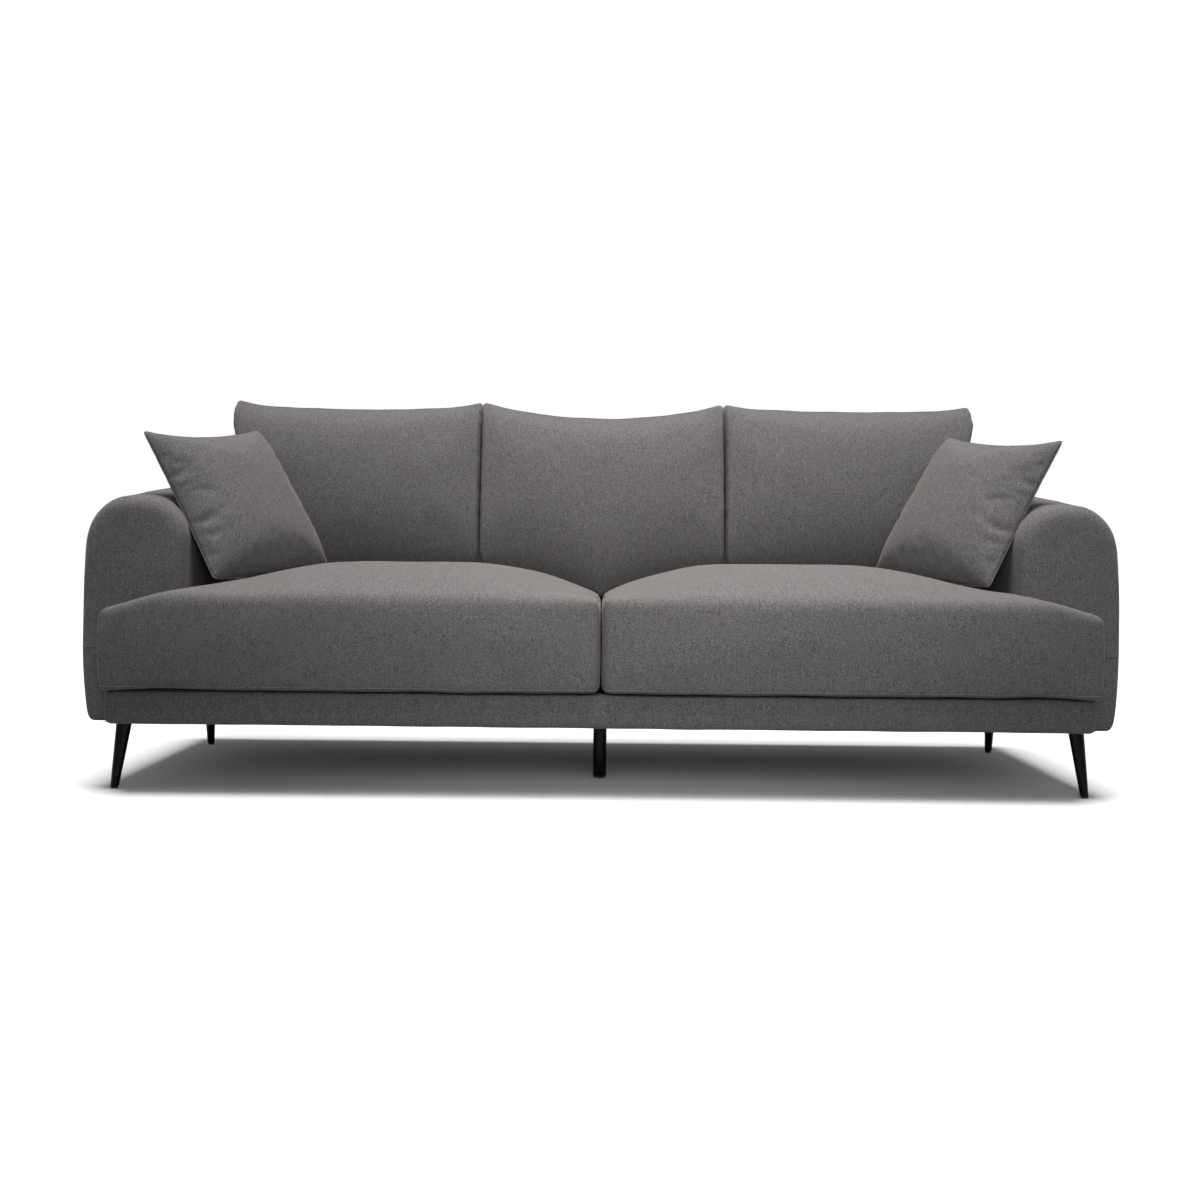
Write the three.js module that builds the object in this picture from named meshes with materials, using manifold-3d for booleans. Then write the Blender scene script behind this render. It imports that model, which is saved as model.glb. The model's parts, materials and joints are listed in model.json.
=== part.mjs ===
// Three-seat sofa with loose cushions: a wooden frame in upholstered arms, back and front border,
// on turned wooden legs. Millimetres, +Z up, front towards -Y, origin on the floor under the middle.
// "left" and "right" are as seen by someone who faces the sofa: left is -X.
import * as THREE from "three";
import { mergeVertices } from "three/addons/utils/BufferGeometryUtils.js";
import Module from "manifold-3d";

const wasm = await Module();
wasm.setup();

// ---- Driving dimensions ----

// Overall
const WIDTH = 2180; // across the fullest part of the arms
const DEPTH = 900; // cushion fronts to the back of the sofa
const HEIGHT = 880; // floor to the corners of the back cushions
const UNDERSIDE = 145; // floor to the underside of the frame
const GAP = 0.3; // between pieces that touch
const OVERCUT = 1; // how far a cutting solid reaches past what it cuts
const EASE = 3; // between soft pieces that only lie against each other

// Arms
const ARM_WIDTH = 215;
const ARM_FRONT_SETBACK = 62; // arm's front face behind the cushion fronts, at the bottom
const ARM_FRONT_LEAN = 35; // how far the front face leans back over its height
const ARM_FRONT_HEIGHT = 596; // floor to the crest of the arm at its front
const ARM_REAR_HEIGHT = 682; // floor to the crest of the arm at its rear
const ARM_BOW = 16; // swell of the outer side
const ARM_OUTER_ROUND = 84;
const ARM_INNER_ROUND = 92;
const ARM_TOP_FLAT = 10; // least width left between the two rounds
const ARM_FRONT_ROUND = 42;
const ARM_REAR_ROUND = 20;
const ARM_PAD = 26; // foam and cover on the sides and the top of the arm frame
const ARM_END_PAD = 12; // foam and cover on the front and rear of the arm frame

// Back
const BACK_DROP = 114; // top of the back below the corners of the back cushions
const BACK_TOP_THICKNESS = 93.6;
const RECLINE = THREE.MathUtils.degToRad(12);
const BACK_ROUND = 34;
const BACK_FRONT_PAD = 30;
const BACK_REAR_PAD = 12;

// Seat base
const BORDER_INSET = 70; // each end of the front border in from the widest part of the arms
const BORDER_SETBACK = 20; // border face behind the cushion fronts
const BORDER_HEIGHT = 68;
const BORDER_PAD = 8;
const DECK_THICKNESS = 16;
const RAIL_THICKNESS = 24;
const BEAM_WIDTH = 44;
const BEAM_HEIGHT = 38;
const DUST_COVER = 0.7;

// Wooden posts and rails inside the arms and the back
const POST = 26;
const ARM_BASE_RAIL_HEIGHT = 40;
const ARM_BASE_RAIL_WIDTH = 110;
const BACK_POST_WIDTH = 44;
const BACK_POST_CLEARANCE = 11; // air between the posts and the foam in front of them, at the top
const BACK_TOP_RAIL_HEIGHT = 36;
const BACK_LOWER_RAIL_RISE = 65; // above the underside
const BACK_LOWER_RAIL_HEIGHT = 50;
const WEBBING_WIDTH = 60;
const WEBBING_THICKNESS = 2;
const WEBBING_BANDS = 3;

// Springs
const SPRINGS_PER_BAY = 3;
const SPRING_WIRE = 4;
const SPRING_SWING = 24;
const SPRING_BENDS = 12;
const SPRING_STEPS_PER_BEND = 4;

// Legs
const LEG_TOP_RADIUS = 16.5;
const LEG_FOOT_RADIUS = 8.5;
const CENTRE_LEG_RADIUS = 15;
const LEG_TRIM = 10; // spare length of the turned bar before its ends are cut level
const FRONT_LEG_INSET = 87; // leg tops in from the widest part of the arms
const REAR_LEG_INSET = 85;
const FRONT_LEG_SETBACK = 105; // leg tops behind the cushion fronts
const REAR_LEG_SETBACK = 137; // leg tops in front of the rear of the sofa
const CENTRE_LEG_SETBACK = 303;
const FRONT_SPLAY_OUT = 17;
const FRONT_SPLAY_FORWARD = 15;
const REAR_SPLAY_BACK = 15;
const PLATE_SIZE = 62;
const PLATE_THICKNESS = 3;
const BOLT_RADIUS = 4;
const BOLT_IN_LEG = 34;
const BOLT_IN_FRAME = 28;
const BOLT_CLEARANCE = 0.4;
const GLIDE_THICKNESS = 4;
const GLIDE_INSET = 1; // its edge inside the foot of the leg
const GLIDE_PIN_RADIUS = 1.5;
const GLIDE_PIN_LENGTH = 12;

// Seat cushions
const SEAT_THICKNESS = 200; // underside to the front top edge
const SEAT_CROWN = 66; // middle of the top above the front top edge
const SEAT_SHOULDER = 205; // length of the slope from the front edge up to the crown
const EAR_INSET = 65; // end of each cushion ear in from the widest part of the arms
const SEAT_SIDE_DROP = 22; // edge beside the arm below the front top edge
const SEAT_SIDE_REACH = 0.2; // of the cushion's width, over which the crown rounds down to its sides
const EAR_DROP = 14; // ear's top below the front top edge
const EAR_ROUND = 30;

// Back cushions
const BACK_CUSHION_MIDDLE_WIDTH = 606;
const BACK_CUSHION_FLARE = 64; // outer top corners out over the arms
const BACK_CUSHION_THICKNESS = 176;
const BACK_CUSHION_SAG = 26; // dip of the top edge between its corners
const BACK_CUSHION_WAIST = 5;
const FLARE_DROP = 14; // the outer side starts to spread this far below the crest of the arm

// Throw pillows
const PILLOW_SIDE = 368;
const PILLOW_THICKNESS = 106;
const PILLOW_REAR_SHARE = 0.3; // of the thickness, where the pillow is pressed against the arm
const PILLOW_WAIST = 14;
const KNIFE_EDGE = 9; // thickness at the sewn edge of a cushion without a gusset
const CUSHION_SQUARENESS = 2.6; // 2 swells as an ellipse, and more is fuller near the edges
const PILLOW_REST = 720; // where its front edge leans on the arm, in front of the rear of the sofa
const PILLOW_OFF_ARM = 18; // its middle plane off that place
const PILLOW_EDGE_PAST_ARM = 4; // its front edge past that place
const PILLOW_SINK = 18.5; // its bottom edge below the crown of the seat
const PILLOW_YAW = THREE.MathUtils.degToRad(60); // face turned from the front towards the middle
const PILLOW_LEAN = THREE.MathUtils.degToRad(29.5); // face tipped up
const PILLOW_ROLL = THREE.MathUtils.degToRad(6); // turned in its own plane

// ---- Values worked out from them ----

const HALF = WIDTH / 2;
const BACK_HEIGHT = HEIGHT - BACK_DROP;
const FRONT_LEG_X = HALF - FRONT_LEG_INSET;
const REAR_LEG_X = HALF - REAR_LEG_INSET;
const FRONT = -DEPTH / 2;
const REAR = DEPTH / 2;
const ARM_INNER = HALF - ARM_WIDTH;
const armRounding = Math.min(1, (ARM_WIDTH - ARM_BOW - ARM_TOP_FLAT) / (ARM_OUTER_ROUND + ARM_INNER_ROUND));
const armOuterRound = ARM_OUTER_ROUND * armRounding; // limited by the width of the arm
const armInnerRound = ARM_INNER_ROUND * armRounding;
const ARM_FRONT = FRONT + ARM_FRONT_SETBACK;
const BORDER_TOP = UNDERSIDE + BORDER_HEIGHT;
const RAIL_TOP = BORDER_TOP - DECK_THICKNESS - GAP;
const SEAT_BOTTOM = BORDER_TOP + EASE;
const SEAT_EDGE_TOP = SEAT_BOTTOM + SEAT_THICKNESS;
const SEAT_TOP = SEAT_EDGE_TOP + SEAT_CROWN;
const DUST_TOP = UNDERSIDE - GAP;
const PLATE_TOP = DUST_TOP - DUST_COVER - GAP;
const LEG_TOP = PLATE_TOP - PLATE_THICKNESS - GAP;

// Front face of the back at height z.
const backFaceY = (z) => REAR - BACK_TOP_THICKNESS + (z - BACK_HEIGHT) * Math.tan(RECLINE);
// Crest of the arm at depth y.
const armCrest = (y) =>
  ARM_FRONT_HEIGHT + ((ARM_REAR_HEIGHT - ARM_FRONT_HEIGHT) * (y - ARM_FRONT)) / (REAR - ARM_FRONT);
// Underside of the foam on the arm's top rail at depth y.
const armRailTop = (y) => armCrest(y) - ARM_PAD - GAP;

const SEAT_REAR = backFaceY(SEAT_BOTTOM) - EASE;
const DECK_REAR = backFaceY(UNDERSIDE) - GAP;
const BACK_POST_REAR = REAR - BACK_REAR_PAD - GAP;
const BACK_POST_FRONT = REAR - BACK_TOP_THICKNESS + BACK_FRONT_PAD + BACK_POST_CLEARANCE;

// ---- Helpers ----

// A closed three.js geometry as a solid that can be joined and cut.
function solidFrom(geometry) {
  const bare = geometry.clone();
  bare.deleteAttribute("normal");
  bare.deleteAttribute("uv");
  const merged = mergeVertices(bare, 1e-3);
  return new wasm.Manifold(
    new wasm.Mesh({
      numProp: 3,
      vertProperties: new Float32Array(merged.attributes.position.array),
      triVerts: new Uint32Array(merged.index.array),
    }),
  );
}

function geometryFrom(solid) {
  const mesh = solid.getMesh();
  const geometry = new THREE.BufferGeometry();
  geometry.setAttribute("position", new THREE.BufferAttribute(new Float32Array(mesh.vertProperties), 3));
  geometry.setIndex(new THREE.BufferAttribute(new Uint32Array(mesh.triVerts), 1));
  geometry.computeVertexNormals();
  return geometry;
}

const CURVE_STEPS = 5;
const ARM_CURVE_STEPS = 6;

function extrude(shape, length, curveSegments = CURVE_STEPS) {
  return new THREE.ExtrudeGeometry(shape, { depth: length, bevelEnabled: false, curveSegments });
}

// A shape drawn in (x, z), extruded from y0 to y1.
function alongY(shape, y0, y1) {
  const geometry = extrude(shape, y1 - y0);
  geometry.rotateX(Math.PI / 2);
  geometry.translate(0, y1, 0);
  return solidFrom(geometry);
}

// A shape drawn in (y, z), extruded from x0 to x1.
function alongX(shape, x0, x1) {
  const geometry = extrude(shape, x1 - x0);
  geometry.rotateX(Math.PI / 2);
  geometry.rotateZ(Math.PI / 2);
  geometry.translate(x0, 0, 0);
  return solidFrom(geometry);
}

function box(x0, x1, y0, y1, z0, z1) {
  const geometry = new THREE.BoxGeometry(x1 - x0, y1 - y0, z1 - z0);
  geometry.translate((x0 + x1) / 2, (y0 + y1) / 2, (z0 + z1) / 2);
  return solidFrom(geometry);
}

function polygon(points) {
  return new THREE.Shape(points.map(([a, b]) => new THREE.Vector2(a, b)));
}

// A solid on the other side of the sofa: x turned round.
function mirrored(solid) {
  return solid.mirror([1, 0, 0]);
}

const FABRIC = new THREE.MeshStandardMaterial({ color: 0x67625f, roughness: 0.95, metalness: 0 });
const LINING = new THREE.MeshStandardMaterial({ color: 0x1c1c1d, roughness: 0.95, metalness: 0 });
const WOOD = new THREE.MeshStandardMaterial({ color: 0xb58f63, roughness: 0.8, metalness: 0 });
const BLACK_WOOD = new THREE.MeshStandardMaterial({ color: 0x0d0c0c, roughness: 0.4, metalness: 0 });
const STEEL = new THREE.MeshStandardMaterial({ color: 0x9a9da0, roughness: 0.4, metalness: 1 });
const PLASTIC = new THREE.MeshStandardMaterial({ color: 0x161616, roughness: 0.6, metalness: 0 });

const sofa = new THREE.Group();

function addPiece(name, solid, material) {
  const mesh = new THREE.Mesh(geometryFrom(solid), material);
  mesh.name = name;
  sofa.add(mesh);
}

// A right-hand piece and its mirror image.
function addPair(name, solid, material) {
  addPiece(`${name}_right`, solid, material);
  addPiece(`${name}_left`, mirrored(solid), material);
}

// ---- Legs ----

function legPlace(name, x, setbackY, outward, forward, topRadius, footRadius) {
  return {
    name,
    top: new THREE.Vector3(x, setbackY, UNDERSIDE),
    foot: new THREE.Vector3(x + outward, setbackY - forward, 0),
    topRadius,
    footRadius,
  };
}

const frontLegY = FRONT + FRONT_LEG_SETBACK;
const rearLegY = REAR - REAR_LEG_SETBACK;
const LEGS = [
  legPlace("front_right", FRONT_LEG_X, frontLegY, FRONT_SPLAY_OUT, FRONT_SPLAY_FORWARD,
    LEG_TOP_RADIUS, LEG_FOOT_RADIUS),
  legPlace("front_left", -FRONT_LEG_X, frontLegY, -FRONT_SPLAY_OUT, FRONT_SPLAY_FORWARD,
    LEG_TOP_RADIUS, LEG_FOOT_RADIUS),
  legPlace("rear_right", REAR_LEG_X, rearLegY, 0, -REAR_SPLAY_BACK, LEG_TOP_RADIUS, LEG_FOOT_RADIUS),
  legPlace("rear_left", -REAR_LEG_X, rearLegY, 0, -REAR_SPLAY_BACK, LEG_TOP_RADIUS, LEG_FOOT_RADIUS),
  legPlace("centre", 0, FRONT + CENTRE_LEG_SETBACK, 0, 0, CENTRE_LEG_RADIUS, CENTRE_LEG_RADIUS),
];

// A round bar on a leg's axis between two heights, with a radius at each end.
function onLegAxis(leg, z0, z1, radius0, radius1, sides) {
  const axis = leg.top.clone().sub(leg.foot);
  const at = (z) => leg.foot.clone().addScaledVector(axis, z / UNDERSIDE);
  const from = at(z0);
  const to = at(z1);
  const length = from.distanceTo(to);
  const geometry = new THREE.LatheGeometry(
    [
      new THREE.Vector2(0, 0),
      new THREE.Vector2(radius0, 0),
      new THREE.Vector2(radius1, length),
      new THREE.Vector2(0, length),
    ],
    sides,
  );
  geometry.applyQuaternion(
    new THREE.Quaternion().setFromUnitVectors(new THREE.Vector3(0, 1, 0), axis.clone().normalize()),
  );
  geometry.translate(from.x, from.y, from.z);
  return solidFrom(geometry);
}

const LEG_SIDES = 24;
const BOLT_SIDES = 12;

function boltSolid(leg, clearance = 0) {
  return onLegAxis(
    leg,
    LEG_TOP - BOLT_IN_LEG - clearance,
    UNDERSIDE + BOLT_IN_FRAME + clearance,
    BOLT_RADIUS + clearance,
    BOLT_RADIUS + clearance,
    BOLT_SIDES,
  );
}

// A flat pad under the foot with a pin that is driven into the leg.
function glideSolid(leg, clearance = 0) {
  const padRadius = leg.footRadius - GLIDE_INSET;
  const geometry = new THREE.LatheGeometry(
    [
      new THREE.Vector2(0, 0),
      new THREE.Vector2(padRadius, 0),
      new THREE.Vector2(padRadius, GLIDE_THICKNESS),
      new THREE.Vector2(GLIDE_PIN_RADIUS + clearance, GLIDE_THICKNESS),
      new THREE.Vector2(GLIDE_PIN_RADIUS + clearance, GLIDE_THICKNESS + GLIDE_PIN_LENGTH + clearance),
      new THREE.Vector2(0, GLIDE_THICKNESS + GLIDE_PIN_LENGTH + clearance),
    ],
    LEG_SIDES,
  );
  geometry.rotateX(Math.PI / 2);
  geometry.translate(leg.foot.x, leg.foot.y, 0);
  return solidFrom(geometry);
}

function legSolid(leg) {
  const footZ = GLIDE_THICKNESS + GAP;
  const reach = 3 * LEG_TOP_RADIUS;
  const growth = (leg.topRadius - leg.footRadius) / UNDERSIDE;
  const barStart = footZ - LEG_TRIM;
  const barEnd = LEG_TOP + LEG_TRIM;
  const bar = onLegAxis(
    leg,
    barStart,
    barEnd,
    leg.footRadius + growth * barStart,
    leg.footRadius + growth * barEnd,
    LEG_SIDES,
  );
  const slab = box(
    Math.min(leg.top.x, leg.foot.x) - reach,
    Math.max(leg.top.x, leg.foot.x) + reach,
    Math.min(leg.top.y, leg.foot.y) - reach,
    Math.max(leg.top.y, leg.foot.y) + reach,
    footZ,
    LEG_TOP,
  );
  const cutLevel = bar.intersect(slab);
  return cutLevel.subtract(boltSolid(leg, BOLT_CLEARANCE)).subtract(glideSolid(leg, BOLT_CLEARANCE));
}

function plateSolid(leg) {
  const half = PLATE_SIZE / 2;
  const { x, y } = leg.top;
  const plate = box(x - half, x + half, y - half, y + half, PLATE_TOP - PLATE_THICKNESS, PLATE_TOP);
  return plate.subtract(boltSolid(leg, BOLT_CLEARANCE));
}

for (const leg of LEGS) {
  addPiece(`${leg.name}_leg`, legSolid(leg), BLACK_WOOD);
  addPiece(`${leg.name}_leg_glide`, glideSolid(leg), PLASTIC);
  addPiece(`${leg.name}_leg_plate`, plateSolid(leg), STEEL);
  addPiece(`${leg.name}_leg_bolt`, boltSolid(leg), STEEL);
}

const boltHoles = LEGS.map((leg) => boltSolid(leg, BOLT_CLEARANCE));
const drilled = (solid) => boltHoles.reduce((left, hole) => left.subtract(hole), solid);

// ---- Seat base ----

const borderHalf = HALF - BORDER_INSET;
const borderFace = FRONT + BORDER_SETBACK;
const borderBack = ARM_FRONT - GAP;
const railZ = [UNDERSIDE, RAIL_TOP];

// The padded front border is a channel that is open behind, over the front rail.
function borderSolid() {
  const skin = box(-borderHalf, borderHalf, borderFace, borderBack, UNDERSIDE, BORDER_TOP);
  const inside = box(
    -borderHalf + BORDER_PAD,
    borderHalf - BORDER_PAD,
    borderFace + BORDER_PAD,
    borderBack + OVERCUT,
    UNDERSIDE + BORDER_PAD,
    BORDER_TOP - BORDER_PAD,
  );
  return skin.subtract(inside);
}

function frontRailSolid() {
  return box(
    -borderHalf + BORDER_PAD + GAP,
    borderHalf - BORDER_PAD - GAP,
    borderFace + BORDER_PAD + GAP,
    borderBack,
    UNDERSIDE + BORDER_PAD + GAP,
    BORDER_TOP - BORDER_PAD - GAP,
  );
}

const baseFront = ARM_FRONT;
const rearRailBack = DECK_REAR;
const rearRailFront = rearRailBack - RAIL_THICKNESS;
const sideRailOuter = ARM_INNER - GAP;
const sideRailInner = sideRailOuter - RAIL_THICKNESS;

addPiece("front_border", borderSolid(), FABRIC);
addPiece("front_rail", frontRailSolid(), WOOD);
addPiece(
  "rear_rail",
  box(-sideRailInner + GAP, sideRailInner - GAP, rearRailFront, rearRailBack, ...railZ),
  WOOD,
);
addPair("side_rail", box(sideRailInner, sideRailOuter, baseFront, rearRailBack, ...railZ), WOOD);
addPiece(
  "centre_beam",
  drilled(
    box(-BEAM_WIDTH / 2, BEAM_WIDTH / 2, baseFront, rearRailFront - GAP, UNDERSIDE, UNDERSIDE + BEAM_HEIGHT),
  ),
  WOOD,
);
addPiece(
  "seat_deck_pad",
  box(-sideRailOuter, sideRailOuter, baseFront, DECK_REAR, RAIL_TOP + GAP, BORDER_TOP),
  LINING,
);
addPiece(
  "dust_cover",
  drilled(
    box(
      -borderHalf,
      borderHalf,
      borderFace + BORDER_PAD,
      REAR - BACK_REAR_PAD,
      DUST_TOP - DUST_COVER,
      DUST_TOP,
    ),
  ),
  LINING,
);

// ---- Springs ----

// A flat band that snakes from front to rear about x = 0.
function springShape(y0, y1) {
  const steps = SPRING_BENDS * SPRING_STEPS_PER_BEND;
  const wave = (Math.PI * SPRING_BENDS) / (y1 - y0);
  const sideOf = (sign) =>
    Array.from({ length: steps + 1 }, (_, i) => {
      const y = y0 + ((y1 - y0) * i) / steps;
      const slope = SPRING_SWING * wave * Math.cos(wave * (y - y0));
      const normal = new THREE.Vector2(1, -slope).normalize();
      const reach = (sign * SPRING_WIRE) / 2;
      const endY = THREE.MathUtils.clamp(y + normal.y * reach, y0, y1);
      return [SPRING_SWING * Math.sin(wave * (y - y0)) + normal.x * reach, endY];
    });
  return polygon([...sideOf(1), ...sideOf(-1).reverse()]);
}

const springTop = RAIL_TOP - SPRING_WIRE;
const bayInner = BEAM_WIDTH / 2;
const bayWidth = sideRailInner - bayInner;

function springSolid(x) {
  const geometry = extrude(springShape(baseFront + GAP, rearRailFront - GAP), SPRING_WIRE);
  geometry.translate(x, 0, springTop - SPRING_WIRE);
  return solidFrom(geometry);
}

for (let i = 0; i < SPRINGS_PER_BAY; i++) {
  const x = bayInner + (bayWidth * (i + 0.5)) / SPRINGS_PER_BAY;
  addPair(`seat_spring_${i + 1}`, springSolid(x), STEEL);
}

// ---- Arms ----

// Section of the right arm in (x, z), as high as the crest at the rear.
function armSection() {
  const shape = new THREE.Shape();
  const top = ARM_REAR_HEIGHT;
  const bottomOuter = HALF - ARM_BOW;
  const shoulder = top - armOuterRound;
  shape.moveTo(ARM_INNER, UNDERSIDE);
  shape.lineTo(bottomOuter, UNDERSIDE);
  shape.quadraticCurveTo(HALF + ARM_BOW, (UNDERSIDE + shoulder) / 2, bottomOuter, shoulder);
  shape.quadraticCurveTo(bottomOuter, top, bottomOuter - armOuterRound, top);
  shape.lineTo(ARM_INNER + armInnerRound, top);
  shape.quadraticCurveTo(ARM_INNER, top, ARM_INNER, top - armInnerRound);
  return shape;
}

// Side view of the arm in (y, z), with its rounded ends.
function armSideView() {
  const shape = new THREE.Shape();
  const lean = (z) => ARM_FRONT + (ARM_FRONT_LEAN * (z - UNDERSIDE)) / (ARM_FRONT_HEIGHT - UNDERSIDE);
  const startRound = ARM_FRONT_HEIGHT - ARM_FRONT_ROUND;
  const endRound = lean(ARM_FRONT_HEIGHT) + ARM_FRONT_ROUND;
  shape.moveTo(ARM_FRONT, UNDERSIDE);
  shape.lineTo(REAR, UNDERSIDE);
  shape.lineTo(REAR, ARM_REAR_HEIGHT - ARM_REAR_ROUND);
  shape.quadraticCurveTo(REAR, armCrest(REAR), REAR - ARM_REAR_ROUND, armCrest(REAR - ARM_REAR_ROUND));
  shape.lineTo(endRound, armCrest(endRound));
  shape.quadraticCurveTo(lean(ARM_FRONT_HEIGHT), ARM_FRONT_HEIGHT, lean(startRound), startRound);
  return shape;
}

const armCavity = {
  inner: ARM_INNER + ARM_PAD,
  outer: HALF - ARM_BOW - ARM_PAD,
  front: ARM_FRONT + ARM_END_PAD + ARM_FRONT_LEAN,
  rear: REAR - ARM_END_PAD,
};
const armFootFront = ARM_FRONT + ARM_END_PAD; // the base rail reaches further forward than the leaning front

// The upholstered arm is hollow over its frame and open underneath.
function armSolid() {
  const geometry = extrude(armSection(), REAR - ARM_FRONT, ARM_CURVE_STEPS);
  geometry.rotateX(Math.PI / 2);
  geometry.translate(0, REAR, 0);
  const place = geometry.attributes.position;
  for (let i = 0; i < place.count; i++) {
    const share = (armCrest(place.getY(i)) - UNDERSIDE) / (ARM_REAR_HEIGHT - UNDERSIDE);
    place.setZ(i, UNDERSIDE + (place.getZ(i) - UNDERSIDE) * share);
  }
  const outside = solidFrom(geometry).intersect(alongX(armSideView(), ARM_INNER - OVERCUT, HALF + OVERCUT));
  const { inner, outer, front, rear } = armCavity;
  const room = alongX(
    polygon([
      [front, UNDERSIDE - OVERCUT],
      [rear, UNDERSIDE - OVERCUT],
      [rear, armCrest(rear) - ARM_PAD],
      [front, armCrest(front) - ARM_PAD],
    ]),
    inner,
    outer,
  );
  const baseRoom = box(
    inner,
    outer,
    armFootFront,
    rear,
    UNDERSIDE - OVERCUT,
    UNDERSIDE + ARM_BASE_RAIL_HEIGHT + GAP,
  );
  return outside.subtract(room).subtract(baseRoom);
}

const railInner = armCavity.inner + GAP;
const railOuter = armCavity.outer - GAP;
const baseRailTop = UNDERSIDE + ARM_BASE_RAIL_HEIGHT;

// A post between the base rail and the sloping top rail of the arm.
function armPost(y0, y1) {
  const under = (y) => armRailTop(y) - POST - GAP;
  return alongX(
    polygon([
      [y0, baseRailTop + GAP],
      [y1, baseRailTop + GAP],
      [y1, under(y1)],
      [y0, under(y0)],
    ]),
    railInner + GAP,
    railOuter - GAP,
  );
}

function armTopRail() {
  const y0 = armCavity.front + GAP;
  const y1 = armCavity.rear - GAP;
  return alongX(
    polygon([
      [y0, armRailTop(y0) - POST],
      [y1, armRailTop(y1) - POST],
      [y1, armRailTop(y1)],
      [y0, armRailTop(y0)],
    ]),
    railInner,
    railOuter,
  );
}

function armBaseRail() {
  const middle = (FRONT_LEG_X + REAR_LEG_X) / 2;
  const rail = box(
    Math.max(railInner, middle - ARM_BASE_RAIL_WIDTH / 2),
    Math.min(railOuter, middle + ARM_BASE_RAIL_WIDTH / 2),
    armFootFront + GAP,
    armCavity.rear - GAP,
    UNDERSIDE,
    baseRailTop,
  );
  return drilled(rail);
}

addPair("arm_upholstery", armSolid(), FABRIC);
addPair("arm_base_rail", armBaseRail(), WOOD);
addPair("arm_top_rail", armTopRail(), WOOD);
addPair("arm_front_post", armPost(armCavity.front + GAP, armCavity.front + GAP + POST), WOOD);
addPair("arm_rear_post", armPost(armCavity.rear - GAP - POST, armCavity.rear - GAP), WOOD);

// ---- Back ----

function backSideView() {
  const shape = new THREE.Shape();
  const round = Math.min(BACK_ROUND, BACK_TOP_THICKNESS / 2 - GAP);
  const frontRound = BACK_HEIGHT - round;
  shape.moveTo(backFaceY(UNDERSIDE), UNDERSIDE);
  shape.lineTo(REAR, UNDERSIDE);
  shape.lineTo(REAR, frontRound);
  shape.quadraticCurveTo(REAR, BACK_HEIGHT, REAR - round, BACK_HEIGHT);
  shape.lineTo(backFaceY(BACK_HEIGHT) + round, BACK_HEIGHT);
  shape.quadraticCurveTo(backFaceY(BACK_HEIGHT), BACK_HEIGHT, backFaceY(frontRound), frontRound);
  return shape;
}

// The upholstered back is hollow over its posts and open underneath.
function backSolid() {
  const end = ARM_INNER - GAP;
  const roomTop = BACK_HEIGHT - BACK_FRONT_PAD;
  const outside = alongX(backSideView(), -end, end);
  const room = alongX(
    polygon([
      [backFaceY(UNDERSIDE - OVERCUT) + BACK_FRONT_PAD, UNDERSIDE - OVERCUT],
      [REAR - BACK_REAR_PAD, UNDERSIDE - OVERCUT],
      [REAR - BACK_REAR_PAD, roomTop],
      [backFaceY(roomTop) + BACK_FRONT_PAD, roomTop],
    ]),
    -end + BACK_REAR_PAD,
    end - BACK_REAR_PAD,
  );
  return outside.subtract(room);
}

const backEnd = ARM_INNER - GAP - BACK_REAR_PAD - GAP;
const backRailTop = BACK_HEIGHT - BACK_FRONT_PAD - GAP;
const backPostTop = backRailTop - BACK_TOP_RAIL_HEIGHT - GAP;
const lowerRailTop = UNDERSIDE + BACK_LOWER_RAIL_RISE + BACK_LOWER_RAIL_HEIGHT;

function backPost(x0, x1) {
  return box(x0, x1, BACK_POST_FRONT, BACK_POST_REAR, UNDERSIDE, backPostTop);
}

addPiece("back_upholstery", backSolid(), FABRIC);
addPair("back_post", backPost(backEnd - BACK_POST_WIDTH, backEnd), WOOD);
addPiece("back_post_centre", backPost(-BACK_POST_WIDTH / 2, BACK_POST_WIDTH / 2), WOOD);
addPiece(
  "back_top_rail",
  box(-backEnd, backEnd, BACK_POST_FRONT, BACK_POST_REAR, backPostTop + GAP, backRailTop),
  WOOD,
);
addPiece(
  "back_lower_rail",
  box(
    -backEnd,
    backEnd,
    BACK_POST_FRONT - GAP - RAIL_THICKNESS,
    BACK_POST_FRONT - GAP,
    UNDERSIDE + BACK_LOWER_RAIL_RISE,
    lowerRailTop,
  ),
  WOOD,
);
const webbingPitch = (backPostTop - lowerRailTop) / WEBBING_BANDS;
for (let i = 0; i < WEBBING_BANDS; i++) {
  const y1 = BACK_POST_FRONT - GAP;
  const z0 = lowerRailTop + webbingPitch * (i + 0.5) - WEBBING_WIDTH / 2;
  addPiece(
    `back_webbing_${i + 1}`,
    box(-backEnd, backEnd, y1 - WEBBING_THICKNESS, y1, z0, z0 + WEBBING_WIDTH),
    LINING,
  );
}

// ---- Seat cushions ----

// Front view of the right cushion's seat part, from the split to the arm.
function seatSection() {
  const x0 = EASE / 2;
  const x1 = ARM_INNER - EASE;
  const middle = (x0 + x1) / 2;
  const shape = new THREE.Shape();
  shape.moveTo(x0, SEAT_BOTTOM);
  shape.lineTo(x1, SEAT_BOTTOM);
  const sideTop = SEAT_EDGE_TOP - SEAT_SIDE_DROP;
  const slope = (x1 - x0) * SEAT_SIDE_REACH;
  shape.lineTo(x1, sideTop);
  shape.bezierCurveTo(x1, sideTop + SEAT_SIDE_DROP, x1 - slope, SEAT_TOP, middle, SEAT_TOP);
  shape.bezierCurveTo(x0 + slope, SEAT_TOP, x0, SEAT_EDGE_TOP + SEAT_CROWN / 2, x0, SEAT_EDGE_TOP);
  return shape;
}

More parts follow.
